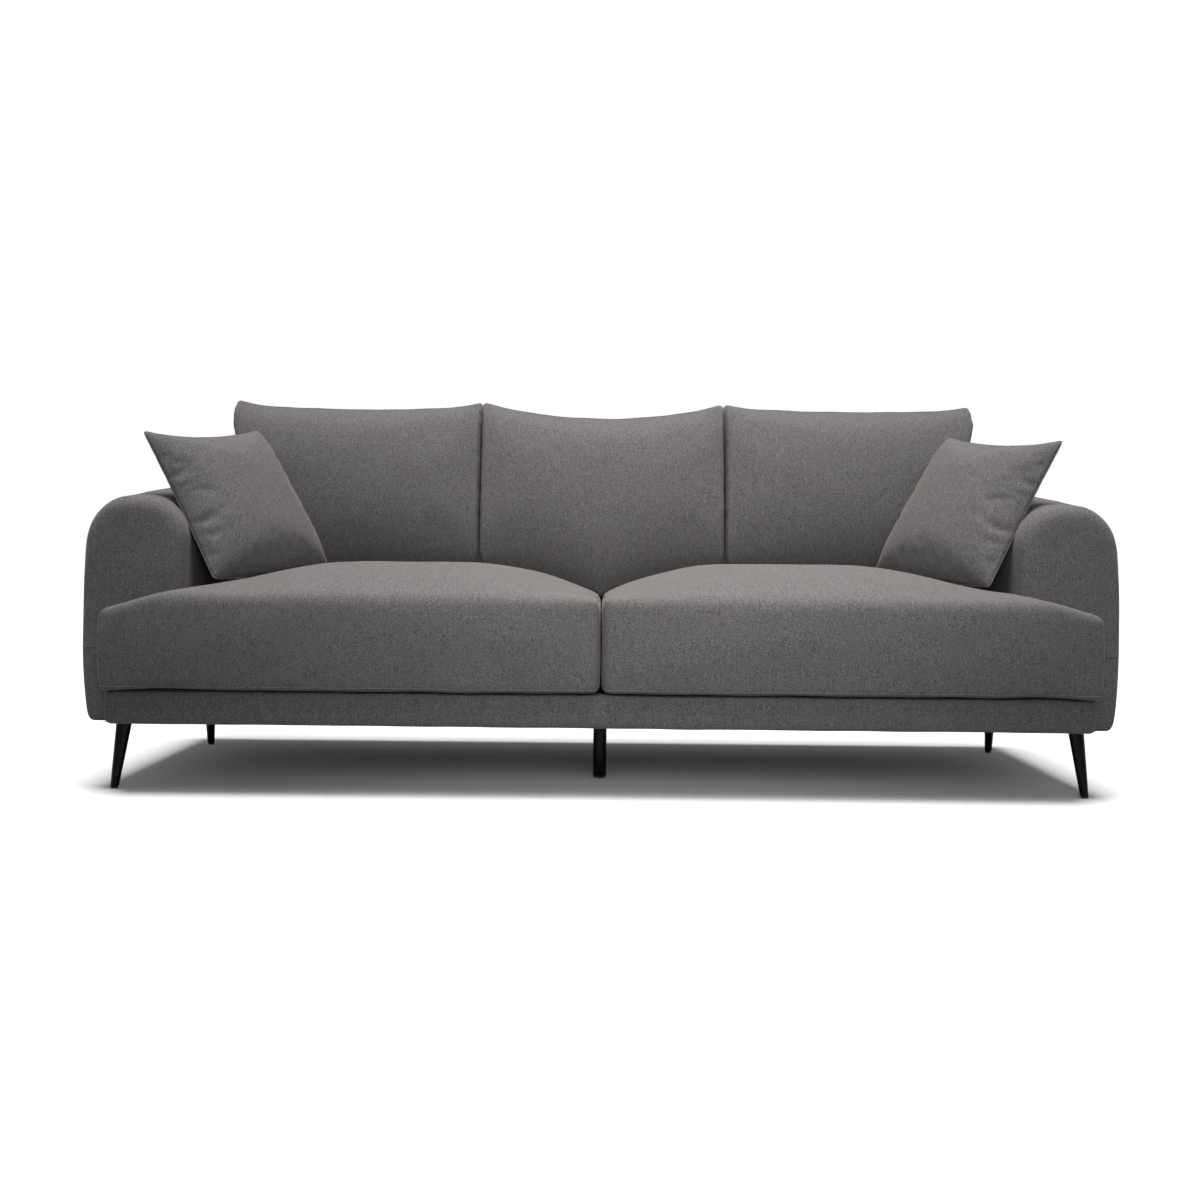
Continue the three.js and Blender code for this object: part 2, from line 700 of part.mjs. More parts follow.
// Front view of the ear in front of the arm.
function earSection() {
  const x0 = ARM_INNER - 2 * EASE;
  const x1 = HALF - EAR_INSET;
  const top = SEAT_EDGE_TOP - EAR_DROP;
  const shape = new THREE.Shape();
  shape.moveTo(x0, SEAT_BOTTOM);
  shape.lineTo(x1, SEAT_BOTTOM);
  shape.lineTo(x1, top - EAR_ROUND);
  shape.quadraticCurveTo(x1, top, x1 - EAR_ROUND, top);
  shape.lineTo(x0, top);
  return shape;
}

// Side view: an upright front, a soft top edge and a slope up to the crown.
function seatSideView() {
  const shape = new THREE.Shape();
  const top = SEAT_TOP + OVERCUT;
  shape.moveTo(FRONT, SEAT_BOTTOM);
  shape.lineTo(SEAT_REAR, SEAT_BOTTOM);
  shape.lineTo(backFaceY(SEAT_TOP) - EASE, top);
  shape.lineTo(FRONT + SEAT_SHOULDER, top);
  shape.bezierCurveTo(
    FRONT + SEAT_SHOULDER / 2,
    top,
    FRONT,
    SEAT_EDGE_TOP + EAR_ROUND,
    FRONT,
    SEAT_EDGE_TOP - EAR_ROUND,
  );
  return shape;
}

function seatCushionSolid() {
  const seat = alongY(seatSection(), FRONT, REAR);
  const ear = alongY(earSection(), FRONT, ARM_FRONT - EASE);
  return seat.add(ear).intersect(alongX(seatSideView(), 0, HALF));
}

addPair("seat_cushion", seatCushionSolid(), FABRIC);

// ---- Knife-edged cushions ----

const CUSHION_STEPS = 8;

// A cushion of two panels sewn together at their edges, upright in (x, z) about its own centre.
// waist pulls the sides in between the corners, dip lowers the top edge between them,
// flare spreads the +X side outwards from flareStart up to its top corner, where -1 is the bottom
// of the cushion and 1 the top, and rearShare is the rear panel's share of the fullness.
function knifeEdgeGeometry(width, height, thickness, form) {
  const { waist, dip, flare = 0, flareStart = 0, rearShare = 0.5 } = form;
  const geometry = new THREE.BoxGeometry(width, 1, height, CUSHION_STEPS, 1, CUSHION_STEPS);
  const place = geometry.attributes.position;
  const fullness = (t) => Math.sqrt(Math.max(0, 1 - Math.abs(t) ** CUSHION_SQUARENESS));
  for (let i = 0; i < place.count; i++) {
    const u = (2 * place.getX(i)) / width;
    const v = (2 * place.getZ(i)) / height;
    const side = Math.sign(place.getY(i));
    const share = side > 0 ? rearShare : 1 - rearShare;
    const half = KNIFE_EDGE / 2 + (thickness - KNIFE_EDGE) * share * fullness(u) * fullness(v);
    const spread = (flare * THREE.MathUtils.smoothstep(v, flareStart, 1) * (1 + u)) / 2;
    place.setX(i, (u * width) / 2 - u * waist * (1 - v * v) + spread);
    place.setZ(i, (v * height) / 2 - Math.max(0, v) * dip * (1 - u * u));
    place.setY(i, side * half);
  }
  return geometry;
}

const backCushionBottom = SEAT_TOP + 2 * EASE;
const backCushionLength = (HEIGHT - backCushionBottom - KNIFE_EDGE * Math.sin(RECLINE)) / Math.cos(RECLINE);

// A back cushion from x0 to x1 stands on the seat and leans on the back.
function backCushionSolid(x0, x1, flare = 0) {
  const middleZ = (backCushionBottom + HEIGHT) / 2;
  const middleY = backFaceY(middleZ) - (BACK_CUSHION_THICKNESS / 2 + EASE) / Math.cos(RECLINE);
  const flareHeight = armCrest(middleY) - FLARE_DROP;
  const geometry = knifeEdgeGeometry(x1 - x0, backCushionLength, BACK_CUSHION_THICKNESS, {
    waist: BACK_CUSHION_WAIST,
    dip: BACK_CUSHION_SAG,
    flare,
    flareStart: (flareHeight - middleZ) / (HEIGHT - middleZ),
  });
  geometry.rotateX(-RECLINE);
  geometry.translate((x0 + x1) / 2, middleY, middleZ);
  return solidFrom(geometry);
}

const backSplit = BACK_CUSHION_MIDDLE_WIDTH / 2;
addPiece("back_cushion_centre", backCushionSolid(-backSplit, backSplit), FABRIC);
addPair("back_cushion", backCushionSolid(backSplit + EASE, ARM_INNER - EASE, BACK_CUSHION_FLARE), FABRIC);

const ROUND_INSET = 1 - Math.SQRT1_2; // of a round edge's radius, from the corner to the middle of the arc

// A throw pillow stands on the seat in the corner of the arm and the back cushion, and leans on the arm.
function pillowSolid() {
  const geometry = knifeEdgeGeometry(PILLOW_SIDE, PILLOW_SIDE, PILLOW_THICKNESS, {
    waist: PILLOW_WAIST,
    dip: PILLOW_WAIST,
    rearShare: PILLOW_REAR_SHARE,
  });
  geometry.rotateY(PILLOW_ROLL);
  geometry.rotateX(-PILLOW_LEAN);
  geometry.rotateZ(-PILLOW_YAW);
  const turn = new THREE.Euler(-PILLOW_LEAN, 0, -PILLOW_YAW, "ZXY");
  const facing = new THREE.Vector3(0, -1, 0).applyEuler(turn);
  const upwards = new THREE.Vector3(0, 0, 1).applyEuler(turn);
  const restY = REAR - PILLOW_REST;
  const inset = armInnerRound * ROUND_INSET;
  const middle = new THREE.Vector3(ARM_INNER + inset, restY, armCrest(restY) - inset);
  middle.addScaledVector(facing, PILLOW_OFF_ARM);
  middle.addScaledVector(facing.clone().cross(upwards), PILLOW_SIDE / 2 - PILLOW_EDGE_PAST_ARM);
  const middleHeight = SEAT_TOP - PILLOW_SINK + (PILLOW_SIDE / 2) * upwards.z;
  middle.addScaledVector(upwards, (middleHeight - middle.z) / upwards.z);
  geometry.translate(middle.x, middle.y, middle.z);
  return solidFrom(geometry);
}

addPair("throw_pillow", pillowSolid(), FABRIC);

export default sofa;
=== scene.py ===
import json
import math

import bmesh
import bpy
from mathutils import Matrix, Vector, noise
from mathutils.kdtree import KDTree

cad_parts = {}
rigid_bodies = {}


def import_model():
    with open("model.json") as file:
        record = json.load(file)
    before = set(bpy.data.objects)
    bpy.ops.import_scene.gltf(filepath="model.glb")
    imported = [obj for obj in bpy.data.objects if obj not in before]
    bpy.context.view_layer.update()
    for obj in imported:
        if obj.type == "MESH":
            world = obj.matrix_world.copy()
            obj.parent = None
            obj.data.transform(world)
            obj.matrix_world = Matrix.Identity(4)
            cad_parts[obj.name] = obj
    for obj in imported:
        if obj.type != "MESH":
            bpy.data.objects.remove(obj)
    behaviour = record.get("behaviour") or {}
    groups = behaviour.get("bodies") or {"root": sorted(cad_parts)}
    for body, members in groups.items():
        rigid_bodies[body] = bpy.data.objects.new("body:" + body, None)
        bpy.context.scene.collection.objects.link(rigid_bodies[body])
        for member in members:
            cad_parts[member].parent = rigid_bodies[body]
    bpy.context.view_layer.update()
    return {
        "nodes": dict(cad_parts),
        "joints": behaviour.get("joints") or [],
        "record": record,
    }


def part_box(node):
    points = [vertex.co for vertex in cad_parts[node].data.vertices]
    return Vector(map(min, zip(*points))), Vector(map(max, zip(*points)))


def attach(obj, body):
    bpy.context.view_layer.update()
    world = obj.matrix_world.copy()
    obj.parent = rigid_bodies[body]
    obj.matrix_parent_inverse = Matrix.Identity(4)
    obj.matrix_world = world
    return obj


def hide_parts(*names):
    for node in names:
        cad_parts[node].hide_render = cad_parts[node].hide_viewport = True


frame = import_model()

MM = 0.001
SIDES = {"left": -1, "right": 1}


# ---- Camera, light and floor ----

CAMERA_PLACE = Vector((-0.003, -3.327, 0.503))
CAMERA_PITCH = math.radians(1.87)
CAMERA_ROLL = math.radians(0.6)
CAMERA_LENS = 42.55  # mm on a 36 mm sensor


def add_camera():
    data = bpy.data.cameras.new("camera")
    data.lens = CAMERA_LENS
    data.sensor_width = 36
    camera = bpy.data.objects.new("camera", data)
    bpy.context.collection.objects.link(camera)
    tilt = Matrix.Rotation(math.pi / 2 - CAMERA_PITCH, 4, "X")
    roll = Matrix.Rotation(CAMERA_ROLL, 4, "Z")
    camera.matrix_world = Matrix.Translation(CAMERA_PLACE) @ tilt @ roll
    bpy.context.scene.camera = camera


def linear(hex_colour):
    """An sRGB hex colour as the linear values that shaders take."""
    channels = [int(hex_colour[i : i + 2], 16) / 255 for i in (1, 3, 5)]
    return [c / 12.92 if c <= 0.04045 else ((c + 0.055) / 1.055) ** 2.4 for c in channels] + [1.0]


def add_sun(name, elevation, azimuth, softness, strength):
    """A light from far away. Its angles are those of the place it comes from, azimuth from the front."""
    data = bpy.data.lights.new(name, "SUN")
    data.energy = strength
    data.angle = math.radians(softness)
    light = bpy.data.objects.new(name, data)
    bpy.context.collection.objects.link(light)
    up = math.radians(elevation)
    round_by = math.radians(azimuth)
    source = Vector((math.cos(up) * math.sin(round_by), -math.cos(up) * math.cos(round_by), math.sin(up)))
    light.rotation_euler = source.to_track_quat("Z", "Y").to_euler()


def add_softbox(name, place, target, width, depth, spread, watts):
    data = bpy.data.lights.new(name, "AREA")
    data.shape = "RECTANGLE"
    data.size = width
    data.size_y = depth
    data.spread = math.radians(spread)
    data.energy = watts
    light = bpy.data.objects.new(name, data)
    bpy.context.collection.objects.link(light)
    light.location = place
    aim = Vector(target) - Vector(place)
    light.rotation_euler = aim.to_track_quat("-Z", "Y").to_euler()


def add_world(fill):
    """A white surround. What it adds to the light on the sofa is set apart from how white it looks."""
    world = bpy.data.worlds.new("studio")
    world.use_nodes = True
    tree = world.node_tree
    seen = add_node(tree, "ShaderNodeLightPath").outputs["Is Camera Ray"]
    strength = add_node(tree, "ShaderNodeMapRange", {"Value": seen, "To Min": fill, "To Max": 1.0})
    background = tree.nodes["Background"]
    background.inputs["Color"].default_value = (1.0, 1.0, 1.0, 1.0)
    tree.links.new(strength.outputs[0], background.inputs["Strength"])
    bpy.context.scene.world = world


# ---- Materials ----


def add_node(tree, kind, links=(), **settings):
    """A node with its settings, and its inputs by name: a socket to link or a value to set."""
    node = tree.nodes.new(kind)
    for key, value in settings.items():
        setattr(node, key, value)
    for key, value in dict(links).items():
        if isinstance(value, bpy.types.NodeSocket):
            tree.links.new(value, node.inputs[key])
        else:
            node.inputs[key].default_value = value
    return node


def new_material(name):
    material = bpy.data.materials.new(name)
    material.use_nodes = True
    tree = material.node_tree
    shader = tree.nodes["Principled BSDF"]
    return material, tree, shader


SIDEWAYS = 0.72  # a face whose normal has more X than this takes its threads from the side


def thread_coordinates(tree, along, across):
    """Object coordinates squeezed so that one unit of noise is one thread.

    across is the thread spacing and along the length over which a thread keeps its shade, in metres.
    Gives two sets: the warp, which runs up a face that looks forward or sideways and to the rear on
    one that looks up, and the weft, which crosses it.
    """
    place = add_node(tree, "ShaderNodeTexCoord").outputs["Object"]
    facing = add_node(tree, "ShaderNodeNewGeometry").outputs["Normal"]
    axes = add_node(tree, "ShaderNodeSeparateXYZ", {"Vector": facing})
    sideways = add_node(tree, "ShaderNodeMath", {0: axes.outputs["X"]}, operation="ABSOLUTE")
    on_side = add_node(
        tree, "ShaderNodeMath", {0: sideways.outputs[0], 1: SIDEWAYS}, operation="GREATER_THAN"
    )
    sets = []
    for over_x, over_y, over_z in ((across, along, along), (along, across, across)):
        front = add_node(
            tree, "ShaderNodeMapping", {"Vector": place, "Scale": (1 / over_x, 1 / over_y, 1 / over_z)}
        )
        side = add_node(
            tree, "ShaderNodeMapping", {"Vector": place, "Scale": (1 / over_y, 1 / over_x, 1 / over_z)}
        )
        both = add_node(
            tree,
            "ShaderNodeMix",
            {"Factor": on_side.outputs[0], "A": front.outputs[0], "B": side.outputs[0]},
            data_type="VECTOR",
        )
        sets.append(both.outputs[1])
    return sets


def mix_colour(tree, share, first, second):
    node = tree.nodes.new("ShaderNodeMix")
    node.data_type = "RGBA"
    for index, value in ((0, share), (6, first), (7, second)):
        if isinstance(value, bpy.types.NodeSocket):
            tree.links.new(value, node.inputs[index])
        else:
            node.inputs[index].default_value = value
    return node.outputs[2]


def soft_range(tree, value, low, high):
    """0 below low and 1 above high, smoothly."""
    node = add_node(
        tree,
        "ShaderNodeMapRange",
        {"Value": value, "From Min": low, "From Max": high},
        interpolation_type="SMOOTHSTEP",
    )
    return node.outputs[0]


CHENILLE_DARK = "#2E2B2A"
CHENILLE_MID = "#625F5E"
CHENILLE_LIGHT = "#888685"
CHENILLE_BLOOM = "#6B6867"


def chenille():
    """Chenille: a soft woven cloth of short-piled yarns, dyed in mixed warm greys.

    It is matt, with a pale bloom where the pile is seen edge-on, faint darker and lighter threads
    both ways, a fine salt-and-pepper speckle and soft clouds, 40 mm across, where the pile has been
    brushed. The yarns are 1 mm apart, too fine to show, so they are drawn 1.6 mm apart and the
    speckle 2.6 mm across.
    """
    material, tree, shader = new_material("chenille")
    place = add_node(tree, "ShaderNodeTexCoord").outputs["Object"]

    def noise_of(vector, scale, detail, roughness):
        inputs = {"Vector": vector, "Scale": scale, "Detail": detail, "Roughness": roughness}
        return add_node(tree, "ShaderNodeTexNoise", inputs).outputs["Fac"]

    speckle = noise_of(place, 1 / (2.6 * MM), 2.0, 0.7)
    warp_place, weft_place = thread_coordinates(tree, along=10 * MM, across=1.6 * MM)
    warp = noise_of(warp_place, 0.5, 1.0, 0.5)
    weft = noise_of(weft_place, 0.5, 1.0, 0.5)
    clouds = noise_of(place, 1 / (40 * MM), 4.0, 0.6)
    dark, middling = linear(CHENILLE_DARK), linear(CHENILLE_MID)
    light, bloom = linear(CHENILLE_LIGHT), linear(CHENILLE_BLOOM)
    salt = mix_colour(tree, soft_range(tree, speckle, 0.3, 0.7), dark, light)
    upright = mix_colour(tree, soft_range(tree, warp, 0.2, 0.8), dark, light)
    crossing = mix_colour(tree, soft_range(tree, weft, 0.3, 0.7), middling, bloom)
    threads = mix_colour(tree, 0.5, upright, crossing)
    woven = mix_colour(tree, 0.66, threads, salt)
    brushed_share = add_node(tree, "ShaderNodeMapRange", {"Value": clouds, "To Min": 0.0, "To Max": 0.5})
    brushed = mix_colour(tree, brushed_share.outputs[0], woven, bloom)
    tree.links.new(brushed, shader.inputs["Base Color"])
    grain = add_node(tree, "ShaderNodeBump", {"Height": speckle, "Strength": 0.3, "Distance": 0.6 * MM})
    ribs = add_node(
        tree,
        "ShaderNodeBump",
        {"Height": warp, "Strength": 0.25, "Distance": 0.6 * MM, "Normal": grain.outputs[0]},
    )
    pile = add_node(
        tree,
        "ShaderNodeBump",
        {"Height": clouds, "Strength": 0.2, "Distance": 2 * MM, "Normal": ribs.outputs[0]},
    )
    tree.links.new(pile.outputs[0], shader.inputs["Normal"])
    shader.inputs["Roughness"].default_value = 0.92
    shader.inputs["Specular IOR Level"].default_value = 0.2
    shader.inputs["Sheen Weight"].default_value = 0.22
    shader.inputs["Sheen Roughness"].default_value = 0.45
    shader.inputs["Sheen Tint"].default_value = linear("#CFC9C4")
    return material


def lacquered_wood():
    """Turned beech under black lacquer: satin, so a faint long highlight runs down each leg.

    The grain under it is 1.4 mm wide and 25 mm long.
    """
    material, tree, shader = new_material("black_lacquered_beech")
    place = add_node(tree, "ShaderNodeTexCoord").outputs["Object"]
    grain_place = add_node(tree, "ShaderNodeMapping", {"Vector": place, "Scale": (700, 700, 40)})
    grain = add_node(
        tree, "ShaderNodeTexNoise", {"Vector": grain_place.outputs[0], "Scale": 1.0, "Detail": 3.0}
    )
    colour = mix_colour(
        tree, soft_range(tree, grain.outputs["Fac"], 0.35, 0.7), linear("#050505"), linear("#0B0B0B")
    )
    tree.links.new(colour, shader.inputs["Base Color"])
    bump = add_node(
        tree, "ShaderNodeBump", {"Height": grain.outputs["Fac"], "Strength": 0.2, "Distance": 0.2 * MM}
    )
    tree.links.new(bump.outputs[0], shader.inputs["Normal"])
    shader.inputs["Roughness"].default_value = 0.20
    shader.inputs["Specular IOR Level"].default_value = 0.08
    return material


def pine():
    """Sawn pine for the frame: pale, with darker late wood in waves about 30 mm across."""
    material, tree, shader = new_material("sawn_pine")
    place = add_node(tree, "ShaderNodeTexCoord").outputs["Object"]
    rings = add_node(
        tree,
        "ShaderNodeTexNoise",
        {"Vector": place, "Scale": 1 / (30 * MM), "Detail": 4.0, "Distortion": 1.5},
    )
    colour = mix_colour(
        tree, soft_range(tree, rings.outputs["Fac"], 0.4, 0.65), linear("#CBA878"), linear("#A9814F")
    )
    tree.links.new(colour, shader.inputs["Base Color"])
    shader.inputs["Roughness"].default_value = 0.75
    return material


def non_woven():
    """Black spun-bonded lining: matt, with a faint pattern of dots pressed 4 mm apart."""
    material, tree, shader = new_material("spun_bonded_lining")
    place = add_node(tree, "ShaderNodeTexCoord").outputs["Object"]
    dots = add_node(tree, "ShaderNodeTexVoronoi", {"Vector": place, "Scale": 1 / (4 * MM)})
    fibres = add_node(tree, "ShaderNodeTexNoise", {"Vector": place, "Scale": 1 / (12 * MM), "Detail": 6.0})
    colour = mix_colour(
        tree, soft_range(tree, fibres.outputs["Fac"], 0.3, 0.7), linear("#151516"), linear("#262627")
    )
    tree.links.new(colour, shader.inputs["Base Color"])
    bump = add_node(
        tree, "ShaderNodeBump", {"Height": dots.outputs["Distance"], "Strength": 0.4, "Distance": 0.4 * MM}
    )
    tree.links.new(bump.outputs[0], shader.inputs["Normal"])
    shader.inputs["Roughness"].default_value = 0.9
    return material


def zinc_steel():
    """Zinc-plated steel: a grey metal with a fine brushed grain."""
    material, tree, shader = new_material("zinc_plated_steel")
    place = add_node(tree, "ShaderNodeTexCoord").outputs["Object"]
    brushed = add_node(tree, "ShaderNodeMapping", {"Vector": place, "Scale": (900, 60, 900)})
    marks = add_node(tree, "ShaderNodeTexNoise", {"Vector": brushed.outputs[0], "Scale": 1.0})
    colour = mix_colour(tree, marks.outputs["Fac"], linear("#8F9295"), linear("#B5B8BA"))
    tree.links.new(colour, shader.inputs["Base Color"])
    shader.inputs["Metallic"].default_value = 1.0
    shader.inputs["Roughness"].default_value = 0.38
    return material


def moulded_polyethylene():
    """Black moulded polyethylene: waxy and finely textured."""
    material, tree, shader = new_material("moulded_polyethylene")
    place = add_node(tree, "ShaderNodeTexCoord").outputs["Object"]
    texture = add_node(tree, "ShaderNodeTexNoise", {"Vector": place, "Scale": 1 / (1.2 * MM)})
    colour = mix_colour(tree, texture.outputs["Fac"], linear("#141414"), linear("#222222"))
    tree.links.new(colour, shader.inputs["Base Color"])
    shader.inputs["Roughness"].default_value = 0.5
    return material


def studio_paint():
    """Matt white paint on the studio floor."""
    material, _, shader = new_material("studio_paint")
    shader.inputs["Base Color"].default_value = linear("#FFFFFF")
    shader.inputs["Roughness"].default_value = 0.9
    return material


FABRIC = "upholstery_fabric"
CHENILLE = chenille()
SLOT_MATERIALS = {
    FABRIC: CHENILLE,
    "lining_fabric": non_woven(),
    "frame_wood": pine(),
    "black_leg_wood": lacquered_wood(),
    "steel": zinc_steel(),
    "glide_plastic": moulded_polyethylene(),
}


def dress_cad_nodes():
    """Every CAD node takes the material of its slot."""
    for part in frame["record"]["subparts"]:
        mesh = frame["nodes"][part["node"]].data
        mesh.materials.clear()
        mesh.materials.append(SLOT_MATERIALS[part["material_slot"]])


# ---- Mesh helpers ----


def smoothstep(low, high, value):
    t = min(max((value - low) / (high - low), 0.0), 1.0)
    return t * t * (3 - 2 * t)


def falloff(distance, reach):
    """1 at no distance, falling in a curve to 0 at reach."""
    t = min(max(1 - distance / reach, 0.0), 1.0)
    return t * t


def object_from(bm, name):
    mesh = bpy.data.meshes.new(name)
    bm.to_mesh(mesh)
    bm.free()
    piece = bpy.data.objects.new(name, mesh)
    bpy.context.collection.objects.link(piece)
    return piece


def edit_mesh(piece, change):
    """Runs change on the piece's mesh as a bmesh."""
    bm = bmesh.new()
    bm.from_mesh(piece.data)
    change(bm)
    bm.to_mesh(piece.data)
    bm.free()


def bake_modifiers(piece):
    """The piece keeps the shape that its modifiers give it, and loses them."""
    bpy.context.view_layer.update()
    shaped = piece.evaluated_get(bpy.context.evaluated_depsgraph_get())
    mesh = bpy.data.meshes.new_from_object(shaped)
    piece.modifiers.clear()
    piece.data = mesh


def voxel_mesh(piece, voxel):
    remesh = piece.modifiers.new("even_mesh", "REMESH")
    remesh.mode = "VOXEL"
    remesh.voxel_size = voxel
    bake_modifiers(piece)


def relax(piece, rounds, kept=()):
    """Evens out a mesh, which also rounds its edges. The points whose indices are kept stay put."""
    kept = set(kept)

    def smooth(bm):
        free = [vertex for vertex in bm.verts if vertex.index not in kept]
        for _ in range(rounds):
            bmesh.ops.smooth_vert(
                bm, verts=free, factor=0.5, use_axis_x=True, use_axis_y=True, use_axis_z=True
            )

    edit_mesh(piece, smooth)


def mirror_to_left(piece):
    def flip(bm):
        bmesh.ops.scale(bm, verts=bm.verts, vec=(-1, 1, 1))
        bmesh.ops.reverse_faces(bm, faces=bm.faces)

    edit_mesh(piece, flip)


def soften(piece, amount, size, seed):
    """The slight unevenness of a stuffed surface: amount high and size across."""
    shift = Vector((seed, seed, seed))
    normals = [vertex.normal.copy() for vertex in piece.data.vertices]
    for vertex, normal in zip(piece.data.vertices, normals):
        vertex.co += normal * (amount * noise.noise(vertex.co / size + shift))


def round_edges(bm, chosen, offset, segments):
    """Bevels the edges whose two ends chosen accepts."""
    edges = [edge for edge in bm.edges if chosen(edge.verts[0].co, edge.verts[1].co)]
    bmesh.ops.bevel(
        bm,
        geom=edges,
        offset=offset,
        segments=segments,
        profile=0.5,
        affect="EDGES",
        material=-1,
    )


def block(lo, hi):
    bm = bmesh.new()
    made = bmesh.ops.create_cube(bm, size=1.0)
    bmesh.ops.scale(bm, verts=made["verts"], vec=hi - lo)
    bmesh.ops.translate(bm, verts=made["verts"], vec=(lo + hi) / 2)
    return bm


def prism(outline, axis, start, end):
    """A solid whose section is a list of points, drawn along X or Z from start to end."""
    bm = bmesh.new()
    if axis == "X":
        places = [(start, a, b) for a, b in outline]
        along = (end - start, 0, 0)
    else:
        places = [(a, b, start) for a, b in outline]
        along = (0, 0, end - start)
    base = bm.faces.new([bm.verts.new(place) for place in places])
    raised = bmesh.ops.extrude_face_region(bm, geom=[base])
    moved = [item for item in raised["geom"] if isinstance(item, bmesh.types.BMVert)]
    bmesh.ops.translate(bm, verts=moved, vec=along)
    bmesh.ops.recalc_face_normals(bm, faces=bm.faces)
    return bm


def finish_piece(piece, body, material, smooth=1, stands_for=()):
    piece.data.materials.clear()
    piece.data.materials.append(material)
    piece.data.shade_smooth()
    if smooth:
        subdivision = piece.modifiers.new("smooth", "SUBSURF")
        subdivision.levels = smooth
        subdivision.render_levels = smooth
    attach(piece, body)
    if stands_for:
        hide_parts(*stands_for)
    return piece


# ---- Seams ----

SEAM = 1.5 * MM  # half the width of the raised line that a seam makes
SEAM_STEP = 8 * MM


def seam_ridge(name, points, radius, body, closed=False):
    """The narrow raised line of a sewn seam, in the sofa's own fabric."""
    curve = bpy.data.curves.new(name, "CURVE")
    curve.dimensions = "3D"
    curve.bevel_depth = radius
    curve.bevel_resolution = 1
    curve.use_fill_caps = True
    spline = curve.splines.new("POLY")
    spline.points.add(len(points) - 1)
    for point, place in zip(spline.points, points):
        point.co = (*place, 1.0)
    spline.use_cyclic_u = closed
    route = bpy.data.objects.new(name + "_route", curve)
    bpy.context.collection.objects.link(route)
    bpy.context.view_layer.update()
    mesh = bpy.data.meshes.new_from_object(route.evaluated_get(bpy.context.evaluated_depsgraph_get()))
    bpy.data.objects.remove(route)
    ridge = bpy.data.objects.new(name, mesh)
    bpy.context.collection.objects.link(ridge)
    return finish_piece(ridge, body, CHENILLE, smooth=0)


def sewn_line(name, piece, corners, body, radius=SEAM):
    """A seam laid on a piece: it goes from corner to corner in straight lines, dropped onto the surface."""
    shaped = piece.evaluated_get(bpy.context.evaluated_depsgraph_get())
    points = []
    for start, end in zip(corners, corners[1:]):
        start, end = Vector(start), Vector(end)
        steps = max(1, round((end - start).length / SEAM_STEP))
        for i in range(steps):
            points.append(start.lerp(end, i / steps))
    points.append(Vector(corners[-1]))
    laid = [shaped.closest_point_on_mesh(point)[1] for point in points]
    spaced = [laid[0]]
    for place in laid[1:]:
        if (place - spaced[-1]).length > SEAM_STEP / 3:
            spaced.append(place)
    return seam_ridge(name, spaced, radius, body)


def swap_side(points, side):
    return [(side * x, y, z) for x, y, z in points]


# ---- Filling by cloth simulation ----

SIMULATION_FRAMES = 20


def fill_with_cloth(jobs):
    """Puffs up every piece at once.

    Each job is (piece, pressure, growth, cap): the cloth is cut growth larger than its outline, its
    seam stays where it is, and no point moves further than cap.
    """
    starts = []
    for piece, pressure, growth, _ in jobs:
        starts.append([vertex.co.copy() for vertex in piece.data.vertices])
        cloth = piece.modifiers.new("filling", "CLOTH")
        settings = cloth.settings
        settings.quality = 6
        settings.mass = 0.3
        settings.air_damping = 3.0
        settings.tension_stiffness = 25.0
        settings.compression_stiffness = 18.0
        settings.shear_stiffness = 8.0
        settings.bending_stiffness = 2.5
        settings.use_pressure = True
        settings.uniform_pressure_force = pressure
        settings.vertex_group_mass = "seam"
        settings.pin_stiffness = 1.0
        settings.shrink_min = -growth
        settings.effector_weights.gravity = 0.0
        cloth.collision_settings.use_collision = False
        cloth.point_cache.frame_start = 1
        cloth.point_cache.frame_end = SIMULATION_FRAMES
    scene = bpy.context.scene
    for step in range(1, SIMULATION_FRAMES + 1):
        scene.frame_set(step)
    for (piece, _, _, cap), start in zip(jobs, starts):
        bake_modifiers(piece)
        for vertex, place in zip(piece.data.vertices, start):
            shift = vertex.co - place
            if shift.length > cap:
                vertex.co = place + shift.normalized() * cap
    scene.frame_set(1)


# ---- Seat cushions ----

SEAT_VOXEL = 10 * MM
SEAT_FRONT_ROUND = 0.040
SEAT_CORNER_ROUND = 0.012
SEAT_EDGE_HEIGHT = 0.197  # underside to the soft front top edge
SEAT_CROWNS = {-1: 0.066, 1: 0.069}  # how far the crown stands above that edge, by side
SEAT_SHOULDER = 0.26  # length of the slope from the front edge up to the crown
EAR_SHOULDER = 0.07  # the same at the ear
SPLIT_REACH = 0.32  # how far from the split between the seats their tops start to fall
SPLIT_SINK = 0.076
ARM_SINK = 0.056
ARM_SINK_FROM, ARM_SINK_TO = 0.56, 0.90  # where the top falls towards the arm
EAR_FROM = 0.880  # where the ear's steeper slope starts
EAR_SLOPE = 0.30
EAR_BULGE = 0.006  # how far the ear's side stands out at half its height
EAR_CORNER = 0.024
EAR_ROOT = 0.90  # where the ear leaves the cushion's body
EAR_TURN_FROM = 0.70  # from here to the root, the front slope shortens to the ear's
ARM_CLEARANCE = 3 * MM
FRONT_SWELL = 0.006
FRONT_REACH = 0.12  # how far back the front's swell reaches
SEAT_PRESSED = 0.014  # how far the back cushions weigh the seat down behind its crown
PRESSED_FROM, PRESSED_TO = 0.09, 0.15  # the seat falls between these, under the back cushions
EAR_LIFT, EAR_HANG = 4 * MM, 5 * MM  # the underside where the ear passes the arm, and at its corner

SEAT_LOW, SEAT_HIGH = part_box("seat_cushion_right")
ARM_LOW, ARM_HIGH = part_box("arm_upholstery_right")
BACK_LOW, BACK_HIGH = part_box("back_upholstery")


